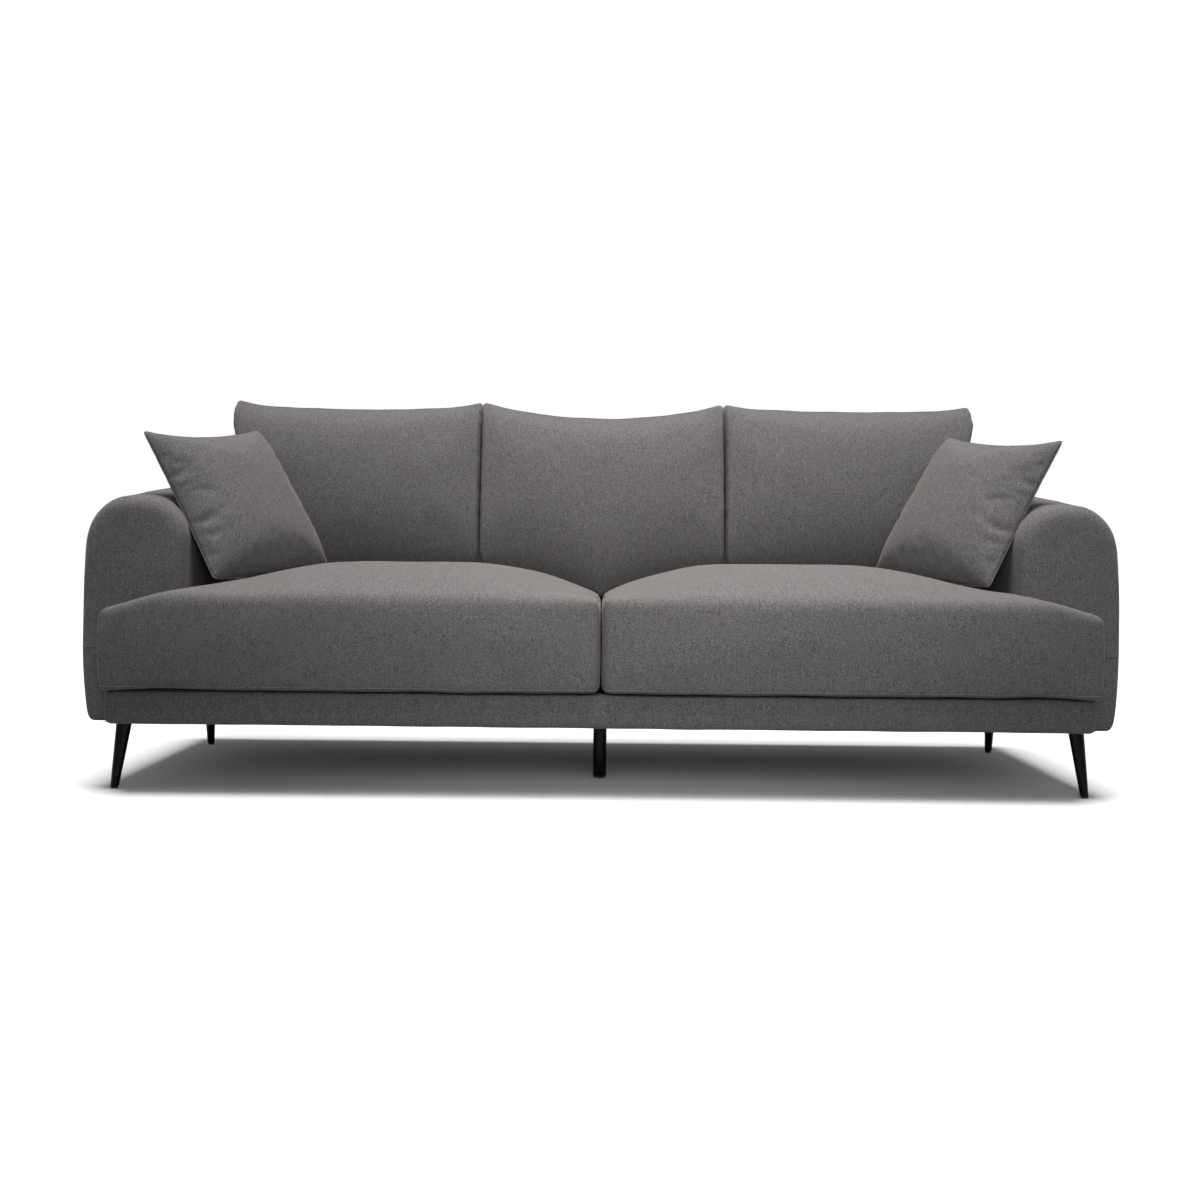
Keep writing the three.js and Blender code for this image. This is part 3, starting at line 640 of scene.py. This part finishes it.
def seat_sink(x):
    """How far the seat's top at x, from the middle of the sofa, lies below its crown."""
    to_split = falloff(abs(x), SPLIT_REACH)
    to_arm = smoothstep(ARM_SINK_FROM, ARM_SINK_TO, abs(x))
    return SPLIT_SINK * to_split + ARM_SINK * to_arm + EAR_SLOPE * max(0.0, abs(x) - EAR_FROM)


def seat_block(rear):
    """The right cushion's plan, drawn up to its thickness, with its edges rounded."""
    arm_inner = ARM_LOW.x - ARM_CLEARANCE
    arm_front = ARM_LOW.y - ARM_CLEARANCE
    plan = [
        (SEAT_LOW.x, SEAT_LOW.y),
        (SEAT_HIGH.x, SEAT_LOW.y),
        (SEAT_HIGH.x, arm_front),
        (arm_inner, arm_front),
        (arm_inner, rear),
        (SEAT_LOW.x, rear),
    ]
    bm = prism(plan, "Z", SEAT_LOW.z, SEAT_LOW.z + SEAT_EDGE_HEIGHT)
    top = SEAT_LOW.z + SEAT_EDGE_HEIGHT - MM
    round_edges(bm, lambda a, b: abs(a.z - b.z) > 0.1, SEAT_CORNER_ROUND, 3)
    round_edges(
        bm,
        lambda a, b: min(a.z, b.z) > top and max(a.y, b.y) < arm_front - 0.02 and abs(a.x - b.x) > 0.3,
        SEAT_FRONT_ROUND,
        8,
    )
    side = SEAT_HIGH.x - MM
    round_edges(
        bm,
        lambda a, b: min(a.z, b.z) > top and min(a.x, b.x) > side and abs(a.y - b.y) > 0.005,
        EAR_CORNER,
        5,
    )
    return bm


def shape_seat(piece, crown):
    """Raises the crown, lets the ear fall to its corner and swells the front and the ear's side."""
    edge_top = SEAT_LOW.z + SEAT_EDGE_HEIGHT
    length = SEAT_HIGH.x - SEAT_LOW.x
    for vertex in piece.data.vertices:
        co = vertex.co
        share = smoothstep(SEAT_LOW.z + 0.03, edge_top - 0.012, co.z)
        height = (co.z - SEAT_LOW.z) / SEAT_EDGE_HEIGHT
        along = (co.x - SEAT_LOW.x) / length
        to_ear = smoothstep(EAR_TURN_FROM, EAR_ROOT, co.x)
        shoulder = SEAT_SHOULDER + (EAR_SHOULDER - SEAT_SHOULDER) * to_ear
        ahead = falloff(co.y - SEAT_LOW.y, shoulder)
        crest = crown - seat_sink(co.x)
        to_front = falloff(co.y - SEAT_LOW.y, FRONT_REACH)
        bow = 4 * height * (1 - height)
        swell = bow * min(1.0, 8 * along * (1 - along))
        at_side = smoothstep(SEAT_HIGH.x - 0.05, SEAT_HIGH.x, co.x)
        co.z += share * (crest * (1 - ahead) if crest > 0 else crest)
        co.z -= share * SEAT_PRESSED * smoothstep(PRESSED_FROM, PRESSED_TO, co.y)
        co.y -= FRONT_SWELL * max(0.0, swell) * to_front
        co.x += EAR_BULGE * max(0.0, bow) ** 0.6 * at_side
        # The underside lifts a little where the ear passes the arm, and its corner hangs.
        low = (1 - smoothstep(SEAT_LOW.z, SEAT_LOW.z + 0.06, co.z)) * to_front
        co.z += low * EAR_LIFT * math.exp(-(((co.x - EAR_ROOT) / 0.045) ** 2))
        co.z -= low * EAR_HANG * smoothstep(0.94, SEAT_HIGH.x, co.x)


def seat_cushion(name, side):
    """Built as the right-hand cushion, and mirrored for the left."""
    rear = BACK_LOW.y + 0.01
    piece = object_from(seat_block(rear), name + "_cover")
    voxel_mesh(piece, SEAT_VOXEL)
    relax(piece, 2)
    shape_seat(piece, SEAT_CROWNS[side])
    soften(piece, 2.2 * MM, 0.11, 3 * side)
    if side < 0:
        mirror_to_left(piece)
    return piece, rear


def seat_seams(name, piece, side, rear):
    bottom = SEAT_LOW.z + 5 * MM
    top = SEAT_LOW.z + SEAT_EDGE_HEIGHT + SEAT_CROWNS[side]
    left, right = SEAT_LOW.x, SEAT_HIGH.x
    front = SEAT_LOW.y - 4 * MM
    ear_rear = ARM_LOW.y - 20 * MM
    routes = {
        "bottom_seam": [(left, front, bottom), (right, front, bottom), (right, ear_rear, bottom)],
        "split_seam": [
            (left, front, bottom),
            (left, front, SEAT_LOW.z + SEAT_EDGE_HEIGHT),
            (left, front + 0.10, top - SPLIT_SINK + 10 * MM),
            (left, rear, top - SPLIT_SINK + 10 * MM),
        ],
        "ear_seam": [
            (right, front, bottom),
            (right + EAR_BULGE, front, SEAT_LOW.z + SEAT_EDGE_HEIGHT / 2),
            (right, front, SEAT_LOW.z + SEAT_EDGE_HEIGHT - 0.04),
            (right - 0.03, ear_rear, SEAT_LOW.z + SEAT_EDGE_HEIGHT),
        ],
    }
    for seam, corners in routes.items():
        sewn_line(f"{name}_{seam}", piece, swap_side(corners, side), name)


# ---- Cushions of two panels ----

PANEL_STEP = 8 * MM
# The columns next to a walled side: how far in from the wall, and what share of the full depth.
WALL_COLUMNS = {1: (0.0, 0.76), 2: (2.5 * MM, 0.95)}
WALL_WAVE = 0.022  # length of the waves in a wall, which are up to 0.9 of the waist deep


def rounded_corner(x, z, half_width, half_height, radius):
    """Moves a place near a corner of a rectangle so that the corner becomes an arc."""
    dx = abs(x) - (half_width - radius)
    dz = abs(z) - (half_height - radius)
    if dx <= 0 or dz <= 0:
        return x, z
    pull = max(dx, dz) / math.hypot(dx, dz)
    return (
        math.copysign(half_width - radius + dx * pull, x),
        math.copysign(half_height - radius + dz * pull, z),
    )


def panel_cushion(name, width, height, swells, fullness, corner, place, settle=0.0, waist=0.0):
    """Two panels in (x, z) sewn together at their edges, with place(x, z) the last word on the outline.

    swells are how far the front and rear panels bulge. fullness is for the sides, the top and the
    foot: 2 swells as an ellipse, and more is fuller near the edges. settle lowers the fullest part.
    With a waist the sides are walls, that much inside the seam, and the cloth is held there too.
    Gives the piece, its sewn edge in order, and the points of its walls.
    """
    columns = round(width / PANEL_STEP)
    rows = round(height / PANEL_STEP)
    bm = bmesh.new()
    walls = []
    for depth in (-swells[0], swells[1]):
        made = bmesh.ops.create_grid(bm, x_segments=columns, y_segments=rows, size=0.5)
        for vertex in made["verts"]:
            u, v = 2 * vertex.co.x, 2 * vertex.co.y
            x, z = rounded_corner(u * width / 2, v * height / 2, width / 2, height / 2, corner)
            low = v + settle * (1 - v * v)
            across = math.sqrt(max(1 - abs(u) ** fullness[0], 0.0))
            upright = math.sqrt(max(1 - abs(low) ** fullness[1 if low > 0 else 2], 0.0))
            column = round((1 - abs(u)) * columns / 2)
            if waist and column in WALL_COLUMNS and not vertex.is_boundary:
                inset, across = WALL_COLUMNS[column]
                inset += waist * (1 + 0.9 * noise.noise(Vector((u, z / WALL_WAVE, depth))))
                wall_x = math.copysign(width / 2 - inset, u)
                x += (wall_x - x) * (1 - smoothstep(0.85, 0.97, abs(v)))
                walls.append(vertex)
            x, z = place(x, z)
            bulge = 0.0 if vertex.is_boundary else depth * across * upright
            vertex.co = Vector((x, bulge, z))
        if depth > 0:
            faces = {face for vertex in made["verts"] for face in vertex.link_faces}
            bmesh.ops.reverse_faces(bm, faces=list(faces))
    edge = [vertex for vertex in bm.verts if vertex.is_boundary]
    bmesh.ops.remove_doubles(bm, verts=edge, dist=0.5 * MM)
    bm.verts.index_update()
    held = [vertex.index for vertex in walls]
    piece = object_from(bm, name + "_cover")
    loop = edge_loop(piece)
    group = piece.vertex_groups.new(name="seam")
    group.add(loop + held, 1.0, "REPLACE")
    return piece, loop, held


def edge_loop(piece):
    """Indices of the points on the sewn edge, in order round it."""
    on_edge = {v.index for v in piece.data.vertices if abs(v.co.y) < 1e-7}
    beside = {index: [] for index in on_edge}
    for edge in piece.data.edges:
        a, b = edge.vertices
        if a in on_edge and b in on_edge:
            beside[a].append(b)
            beside[b].append(a)
    start = min(on_edge)
    loop = [start]
    previous, current = start, beside[start][0]
    while current != start:
        loop.append(current)
        following = [i for i in beside[current] if i != previous]
        previous, current = current, following[0]
    return loop


def crease_seam(piece, loop):
    """Keeps the sewn edge sharp when the mesh is smoothed."""
    on_seam = set(loop)

    def mark(bm):
        layer = bm.edges.layers.float.get("crease_edge") or bm.edges.layers.float.new("crease_edge")
        bm.verts.ensure_lookup_table()
        for edge in bm.edges:
            if edge.verts[0].index in on_seam and edge.verts[1].index in on_seam:
                edge[layer] = 1.0

    edit_mesh(piece, mark)


def pucker(piece, loop, depth, reach, spacing, seed):
    """The small gathers that the stitches pull into both panels beside a seam."""
    places = [piece.data.vertices[i].co.copy() for i in loop]
    tree = KDTree(len(places))
    for index, place in enumerate(places):
        tree.insert(place, index)
    tree.balance()
    on_seam = set(loop)
    for vertex in piece.data.vertices:
        place, _, distance = tree.find(vertex.co)
        if distance > reach:
            continue
        wave = noise.noise(place / spacing + Vector((seed, seed, seed)))
        if vertex.index in on_seam:
            vertex.co.y += 0.5 * depth * wave
        else:
            vertex.co.y -= math.copysign(depth * (0.4 + wave) * falloff(distance, reach), vertex.co.y)


def press_folds(piece, folds):
    """Folds in the front panel. Each is (start, end, depth, width) in (x, z), deepest at its start."""
    for vertex in piece.data.vertices:
        if vertex.co.y > -2 * MM:
            continue
        place = Vector((vertex.co.x, vertex.co.z))
        for start, end, depth, width in folds:
            start, end = Vector(start), Vector(end)
            line = end - start
            along = min(max((place - start).dot(line) / line.length_squared, 0.0), 1.0)
            across = (place - start - line * along).length / width
            trough = (1 - 1.4 * across * across) * math.exp(-across * across)
            vertex.co.y += depth * (1 - along) * trough


# ---- Back cushions ----

BACK_SWELLS = (0.066, 0.050)
BACK_FULLNESS = (14.0, 4.0, 3.0)
BACK_SETTLE = 0.06
BACK_WAIST = 3.0 * MM
BACK_FILLING = (3.0, 0.004, 0.03)  # pressure, growth and cap of its cloth
BACK_SMOOTHING = 30
BACK_CORNER = 0.014
BACK_SPREAD = 1.0 * MM  # how far a cushion goes beyond its box on each side, to touch the next
BACK_RISE = 0.010  # how much taller its sewn outline is than its box
BACK_RIPPLE = 1.5 * MM
TOP_TUCK = 9 * MM  # how much narrower an outer cushion is beside the arm, all the way up
TUCK = 0.062  # and how much more at its foot
SINK_FOLLOW = 0.95  # share of the seat's hollow that the cushion's foot fills


def back_cushion(name, dip, even, side):
    """dip is how far the top sags, and even how much of that is a level run between the ears.

    side is -1 or 1 for the cushions beside the arms, and 0 for the middle one.
    """
    lo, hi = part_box(name)
    slide = next(joint for joint in frame["joints"] if joint["child"] == name)
    recline = math.atan2(slide["axis"][1], slide["axis"][2])
    width = hi.x - lo.x + 2 * BACK_SPREAD
    height = (hi.z - lo.z) / math.cos(recline) + BACK_RISE
    middle = (lo + hi) / 2

    def place(x, z):
        u, v = 2 * x / width, 2 * z / height
        level = 1 - abs(u) ** 8
        sag = even * level + (1 - even) * (1 - u * u)
        ripple = BACK_RIPPLE * noise.noise(Vector((x / 0.07, 3.0 * side, dip)))
        z -= (dip * sag + ripple * level) * smoothstep(-0.4, 1.0, v)
        tuck = TOP_TUCK + TUCK * (1 - smoothstep(-0.35, 0.75, v))
        x -= side * tuck * abs((1 + side * u) / 2) ** 1.2
        foot = (1 - smoothstep(-1.0, -0.2, v)) * SINK_FOLLOW
        z -= foot * (min(seat_sink(middle.x + x), SPLIT_SINK) + SEAT_PRESSED)
        return x, z

    piece, loop, held = panel_cushion(
        name, width, height, BACK_SWELLS, BACK_FULLNESS, BACK_CORNER, place, BACK_SETTLE, BACK_WAIST
    )
    turn = Matrix.Translation(middle) @ Matrix.Rotation(-recline, 4, "X")
    return piece, loop, held, turn


# ---- Throw pillows ----

PILLOW_ROLL = math.radians(6)
PILLOW_HALF = 0.184
PILLOW_STRETCH = 1.03  # its width over its height
PILLOW_SWELLS = (0.058, 0.027)
PILLOW_FULLNESS = (2.7, 2.7, 2.7)
PILLOW_FILLING = (3.5, 0.015, 0.03)  # pressure, growth and cap of its cloth
PILLOW_CORNER = 0.008
PILLOW_WAIST, PILLOW_TAPER = 3 * MM, 4 * MM  # how its sides pull in, and narrow towards the top
PILLOW_TOP_SAG, PILLOW_FOOT_BELLY, PILLOW_DROP = 18 * MM, 7 * MM, 2.5 * MM
PILLOW_SETTLE = Vector((0.006, -0.014, -0.006))  # how it lies in the corner of the right arm


def throw_pillow(name, side):
    """side is 1 for the right-hand pillow. It faces the way it slides off."""
    lo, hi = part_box(name)
    slide = next(joint for joint in frame["joints"] if joint["child"] == name)
    facing = Vector(slide["axis"])
    yaw = math.atan2(-facing.x, -facing.y)
    lean = math.asin(facing.z)

    def place(x, z):
        u, v = x / PILLOW_HALF, z / PILLOW_HALF
        x -= PILLOW_WAIST * u * (1 - v * v) + PILLOW_TAPER * u * v
        bend = PILLOW_TOP_SAG if v > 0 else -PILLOW_FOOT_BELLY
        z -= bend * v * (1 - abs(u) ** 2.2) + PILLOW_DROP * (1 + v)
        return x, z

    size = 2 * PILLOW_HALF
    piece, loop, _ = panel_cushion(
        name, PILLOW_STRETCH * size, size, PILLOW_SWELLS, PILLOW_FULLNESS, PILLOW_CORNER, place
    )
    settle = Vector((side * PILLOW_SETTLE.x, PILLOW_SETTLE.y, PILLOW_SETTLE.z))
    turn = (
        Matrix.Translation((lo + hi) / 2 + settle)
        @ Matrix.Rotation(-yaw, 4, "Z")
        @ Matrix.Rotation(-lean, 4, "X")
        @ Matrix.Rotation(side * PILLOW_ROLL, 4, "Y")
    )
    return piece, loop, turn


def pillow_folds(side):
    """Folds run in from the edge that lies against the arm, and two up from the foot."""
    edge = side * PILLOW_HALF
    return [
        ((edge, 0.055), (edge - side * 0.075, 0.085), 5 * MM, 0.011),
        ((edge, 0.030), (edge - side * 0.055, 0.030), 4 * MM, 0.009),
        ((edge, -0.060), (edge - side * 0.085, -0.040), 6 * MM, 0.012),
        ((edge, -0.085), (edge - side * 0.050, -0.100), 4 * MM, 0.009),
        ((side * 0.12, -PILLOW_HALF), (side * 0.09, -0.11), 4 * MM, 0.010),
        ((side * 0.02, -PILLOW_HALF), (side * 0.02, -0.09), 3 * MM, 0.010),
    ]


# ---- Arms ----

ARM_VOXEL = 9 * MM
ARM_CREST_FRONT = 0.612
ARM_CREST_REAR = 0.694
ARM_LEAN = 0.035  # how far back the front's top is
ARM_OUTER_ROUND, ARM_INNER_ROUND = 0.088, 0.095
ARM_FRONT_ROUND, ARM_REAR_ROUND = 0.024, 0.012
ARM_BOW = 0.016  # how far the outer side bows out at half its height
ARM_SEAM_HEIGHT = 0.30  # where the sides' two panels meet
ARM_TURN_HEIGHT = 0.60  # where the rear edge's seam starts to turn over the top


def arm(name, side):
    """Built as the right-hand arm, and mirrored for the left."""
    low = ARM_LOW - Vector((0, 0, MM))
    middle = (ARM_LOW + ARM_HIGH) / 2
    bm = block(low, ARM_HIGH)
    for vertex in bm.verts:
        if vertex.co.z > middle.z:
            in_front = vertex.co.y < middle.y
            vertex.co.y += ARM_LEAN if in_front else 0.0
            vertex.co.z = ARM_CREST_FRONT if in_front else ARM_CREST_REAR

    def on_top(a, b):
        return abs(a.y - b.y) > 0.5 and min(a.z, b.z) > 0.5

    def above_foot(a, b):
        return max(a.z, b.z) > low.z + 0.02

    round_edges(bm, lambda a, b: on_top(a, b) and min(a.x, b.x) > middle.x, ARM_OUTER_ROUND, 10)
    round_edges(bm, lambda a, b: on_top(a, b) and max(a.x, b.x) < middle.x, ARM_INNER_ROUND, 10)
    front = ARM_LOW.y + ARM_LEAN + MM
    round_edges(bm, lambda a, b: max(a.y, b.y) < front and above_foot(a, b), ARM_FRONT_ROUND, 4)
    rear = ARM_HIGH.y - MM
    round_edges(bm, lambda a, b: min(a.y, b.y) > rear and above_foot(a, b), ARM_REAR_ROUND, 3)
    piece = object_from(bm, name + "_cover")
    voxel_mesh(piece, ARM_VOXEL)
    relax(piece, 3)
    for vertex in piece.data.vertices:
        co = vertex.co
        t = min(max((co.z - low.z) / (ARM_CREST_FRONT - low.z), 0.0), 1.0)
        outer = smoothstep(middle.x, ARM_HIGH.x, co.x)
        co.x += outer * (ARM_BOW * 4 * t * (1 - t) - ARM_BOW) * (1 - 0.3 * t)
    soften(piece, 2 * MM, 0.14, 11 * side)
    if side < 0:
        mirror_to_left(piece)
    return piece


def arm_seams(name, piece, side):
    x0, x1 = ARM_LOW.x + 0.02, ARM_HIGH.x + 0.01
    front, rear = ARM_LOW.y - 0.01, ARM_HIGH.y + 0.005
    z = ARM_SEAM_HEIGHT
    around = [(x1 - 0.06, front, z), (x1, front, z), (x1, rear, z)]
    rear_edge = [
        (x1, rear, ARM_LOW.z + 0.01),
        (x1, rear, ARM_TURN_HEIGHT),
        (x1 - 0.03, rear, ARM_HIGH.z),
        (x0, rear, ARM_HIGH.z),
    ]
    sewn_line(name + "_side_seam", piece, swap_side(around, side), "base", radius=0.8 * MM)
    sewn_line(name + "_rear_seam", piece, swap_side(rear_edge, side), "base", radius=1.2 * MM)


# ---- Back and front border ----

BACK_RECLINE = math.radians(12)
BACK_TOP_ROUND = 0.034
BACK_TOP_SWELL = 4 * MM
BACK_VOXEL = 10 * MM
BORDER_EDGE_ROUND = 0.008
BORDER_CORNER = 0.014
BORDER_VOXEL = 6 * MM


def back_cover():
    lo, hi = BACK_LOW, BACK_HIGH
    top = hi.z + BACK_TOP_SWELL
    top_front = lo.y + (hi.z - lo.z) * math.tan(BACK_RECLINE)
    outline = [(lo.y, lo.z - MM), (hi.y, lo.z - MM), (hi.y, top), (top_front, top)]
    bm = prism(outline, "X", lo.x, hi.x)
    round_edges(bm, lambda a, b: min(a.z, b.z) > hi.z and abs(a.x - b.x) > 1, BACK_TOP_ROUND, 6)
    piece = object_from(bm, "back_upholstery_cover")
    voxel_mesh(piece, BACK_VOXEL)
    relax(piece, 3)
    soften(piece, 2 * MM, 0.16, 5)
    return piece


def border_cover():
    lo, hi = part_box("front_border")
    bm = block(lo - Vector((0, 0, 2 * MM)), hi)
    round_edges(bm, lambda a, b: max(a.y, b.y) < lo.y + MM, BORDER_EDGE_ROUND, 3)
    piece = object_from(bm, "front_border_cover")
    voxel_mesh(piece, BORDER_VOXEL)
    relax(piece, 2)
    middle = (lo + hi) / 2
    half = (hi - lo) / 2
    for vertex in piece.data.vertices:
        offset = vertex.co - middle
        x, z = rounded_corner(offset.x, offset.z, half.x, half.z, BORDER_CORNER)
        if z < 0:
            vertex.co.x, vertex.co.z = middle.x + x, middle.z + z
    soften(piece, 1.2 * MM, 0.09, 7)
    return piece


# ---- Dust cover ----

LINING_END_INSET = 16 * MM


def dust_lining():
    """The dust cover as stapled on: its ends stop short of the border's rounded corners."""
    mesh = frame["nodes"]["dust_cover"].data.copy()
    piece = bpy.data.objects.new("dust_cover_lining", mesh)
    bpy.context.collection.objects.link(piece)
    _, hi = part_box("dust_cover")
    for vertex in mesh.vertices:
        share = smoothstep(hi.x - 0.1, hi.x, abs(vertex.co.x))
        vertex.co.x -= math.copysign(LINING_END_INSET * share, vertex.co.x)
    mesh.materials.clear()
    mesh.materials.append(SLOT_MATERIALS["lining_fabric"])
    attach(piece, "base")
    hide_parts("dust_cover")


# ---- Legs ----

LEG_SIDES = 64
LEG_EASE = 1.2 * MM


def leg_cover(name):
    """A turned leg: the CAD leg's taper with a round section and eased ends."""
    lo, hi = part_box(name)
    verts = [vertex.co for vertex in frame["nodes"][name].data.vertices]
    ends = []
    for z in (lo.z, hi.z):
        ring = [co for co in verts if abs(co.z - z) < 0.1 * MM]
        low = Vector((min(co.x for co in ring), min(co.y for co in ring), z))
        high = Vector((max(co.x for co in ring), max(co.y for co in ring), z))
        ends.append(((low + high) / 2, (high.y - low.y) / 2))
    (foot, foot_radius), (top, top_radius) = ends
    bm = bmesh.new()
    length = hi.z - lo.z
    profile = [
        (0.0, 0.0),
        (foot_radius - LEG_EASE, 0.0),
        (foot_radius, LEG_EASE),
        (top_radius, length - LEG_EASE),
        (top_radius - LEG_EASE, length),
        (0.0, length),
    ]
    points = [bm.verts.new((radius, 0, height)) for radius, height in profile]
    edges = [bm.edges.new(pair) for pair in zip(points, points[1:])]
    bmesh.ops.spin(
        bm,
        geom=points + edges,
        cent=(0, 0, 0),
        axis=(0, 0, 1),
        angle=2 * math.pi,
        steps=LEG_SIDES,
        use_merge=True,
    )
    bmesh.ops.remove_doubles(bm, verts=bm.verts, dist=0.01 * MM)
    bmesh.ops.recalc_face_normals(bm, faces=bm.faces)
    for vertex in bm.verts:
        vertex.co += foot.lerp(top, vertex.co.z / length) - Vector((0, 0, vertex.co.z))
    piece = object_from(bm, name + "_turned")
    piece.data.shade_smooth()
    weighted = piece.modifiers.new("weighted", "WEIGHTED_NORMAL")
    weighted.keep_sharp = True
    piece.data.materials.append(SLOT_MATERIALS["black_leg_wood"])
    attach(piece, "base")
    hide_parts(name)


# ---- Assembly ----

# How far each back cushion's top sags, and how even the sag is: 1 is a level run between the ears.
DIPS = {"left": (0.024, 0.55), "centre": (0.042, 0.10), "right": (0.018, 0.55)}


def build_cushions():
    made, smoothed = [], []
    for place, (dip, even) in DIPS.items():
        name = "back_cushion_" + place
        piece, loop, held, turn = back_cushion(name, dip, even, SIDES.get(place, 0))
        made.append((name, piece, loop, turn, (piece, *BACK_FILLING)))
        smoothed.append((piece, loop + held))
    for place, side in SIDES.items():
        name = "throw_pillow_" + place
        piece, loop, turn = throw_pillow(name, side)
        made.append((name, piece, loop, turn, (piece, *PILLOW_FILLING)))
    fill_with_cloth([job for *_, job in made])
    for piece, held in smoothed:
        relax(piece, BACK_SMOOTHING, kept=held)
    for place, side in SIDES.items():
        press_folds(bpy.data.objects[f"throw_pillow_{place}_cover"], pillow_folds(side))
    for seed, (name, piece, loop, turn, _) in enumerate(made):
        pucker(piece, loop, depth=1.6 * MM, reach=0.03, spacing=0.018, seed=seed)
        piece.data.transform(turn)
        crease_seam(piece, loop)
        points = [piece.data.vertices[i].co.copy() for i in loop]
        finish_piece(piece, name, CHENILLE, stands_for=[name])
        seam_ridge(name + "_seam", points, 0.7 * SEAM, name, closed=True)


def build_seats():
    for place, side in SIDES.items():
        name = "seat_cushion_" + place
        piece, rear = seat_cushion(name, side)
        finish_piece(piece, name, CHENILLE, stands_for=[name])
        bpy.context.view_layer.update()
        seat_seams(name, piece, side, rear)


def build_frame_covers():
    for place, side in SIDES.items():
        name = "arm_upholstery_" + place
        piece = finish_piece(arm(name, side), "base", CHENILLE, stands_for=[name])
        bpy.context.view_layer.update()
        arm_seams(name, piece, side)
    finish_piece(back_cover(), "base", CHENILLE, stands_for=["back_upholstery"])
    border = finish_piece(border_cover(), "base", CHENILLE, stands_for=["front_border"])
    bpy.context.view_layer.update()
    lo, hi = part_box("front_border")
    for place, side in SIDES.items():
        x = hi.x - 9 * MM
        route = [(x, lo.y - 2 * MM, lo.z + 14 * MM), (x, lo.y - 2 * MM, hi.z - 4 * MM)]
        sewn_line(f"front_border_seam_{place}", border, swap_side(route, side), "base", radius=MM)


def add_studio():
    bm = bmesh.new()
    bmesh.ops.create_grid(bm, x_segments=1, y_segments=1, size=1.0)
    bmesh.ops.scale(bm, verts=bm.verts, vec=(60, 60, 1))
    floor = object_from(bm, "studio_floor")
    floor.data.materials.append(studio_paint())
    floor.visible_diffuse = False  # the cloth isn't lit from below by the white floor
    add_world(fill=0.24)
    add_sun("overhead_light", elevation=89, azimuth=5, softness=30, strength=3.7)
    middle = (0.14, -0.1, 0.5)
    softbox = {"target": middle, "width": 1.2, "depth": 0.8, "spread": 60}
    add_softbox("high_softbox", place=(0.16, -1.2, 2.4), watts=2, **softbox)
    add_softbox("front_softbox", place=(0.20, -2.3, 1.0), watts=2.8, **softbox)


scene = bpy.context.scene
scene.view_settings.view_transform = "Standard"
add_camera()
add_studio()
dress_cad_nodes()
for leg in ("front_left", "front_right", "rear_left", "rear_right", "centre"):
    leg_cover(leg + "_leg")
dust_lining()
build_frame_covers()
build_seats()
build_cushions()
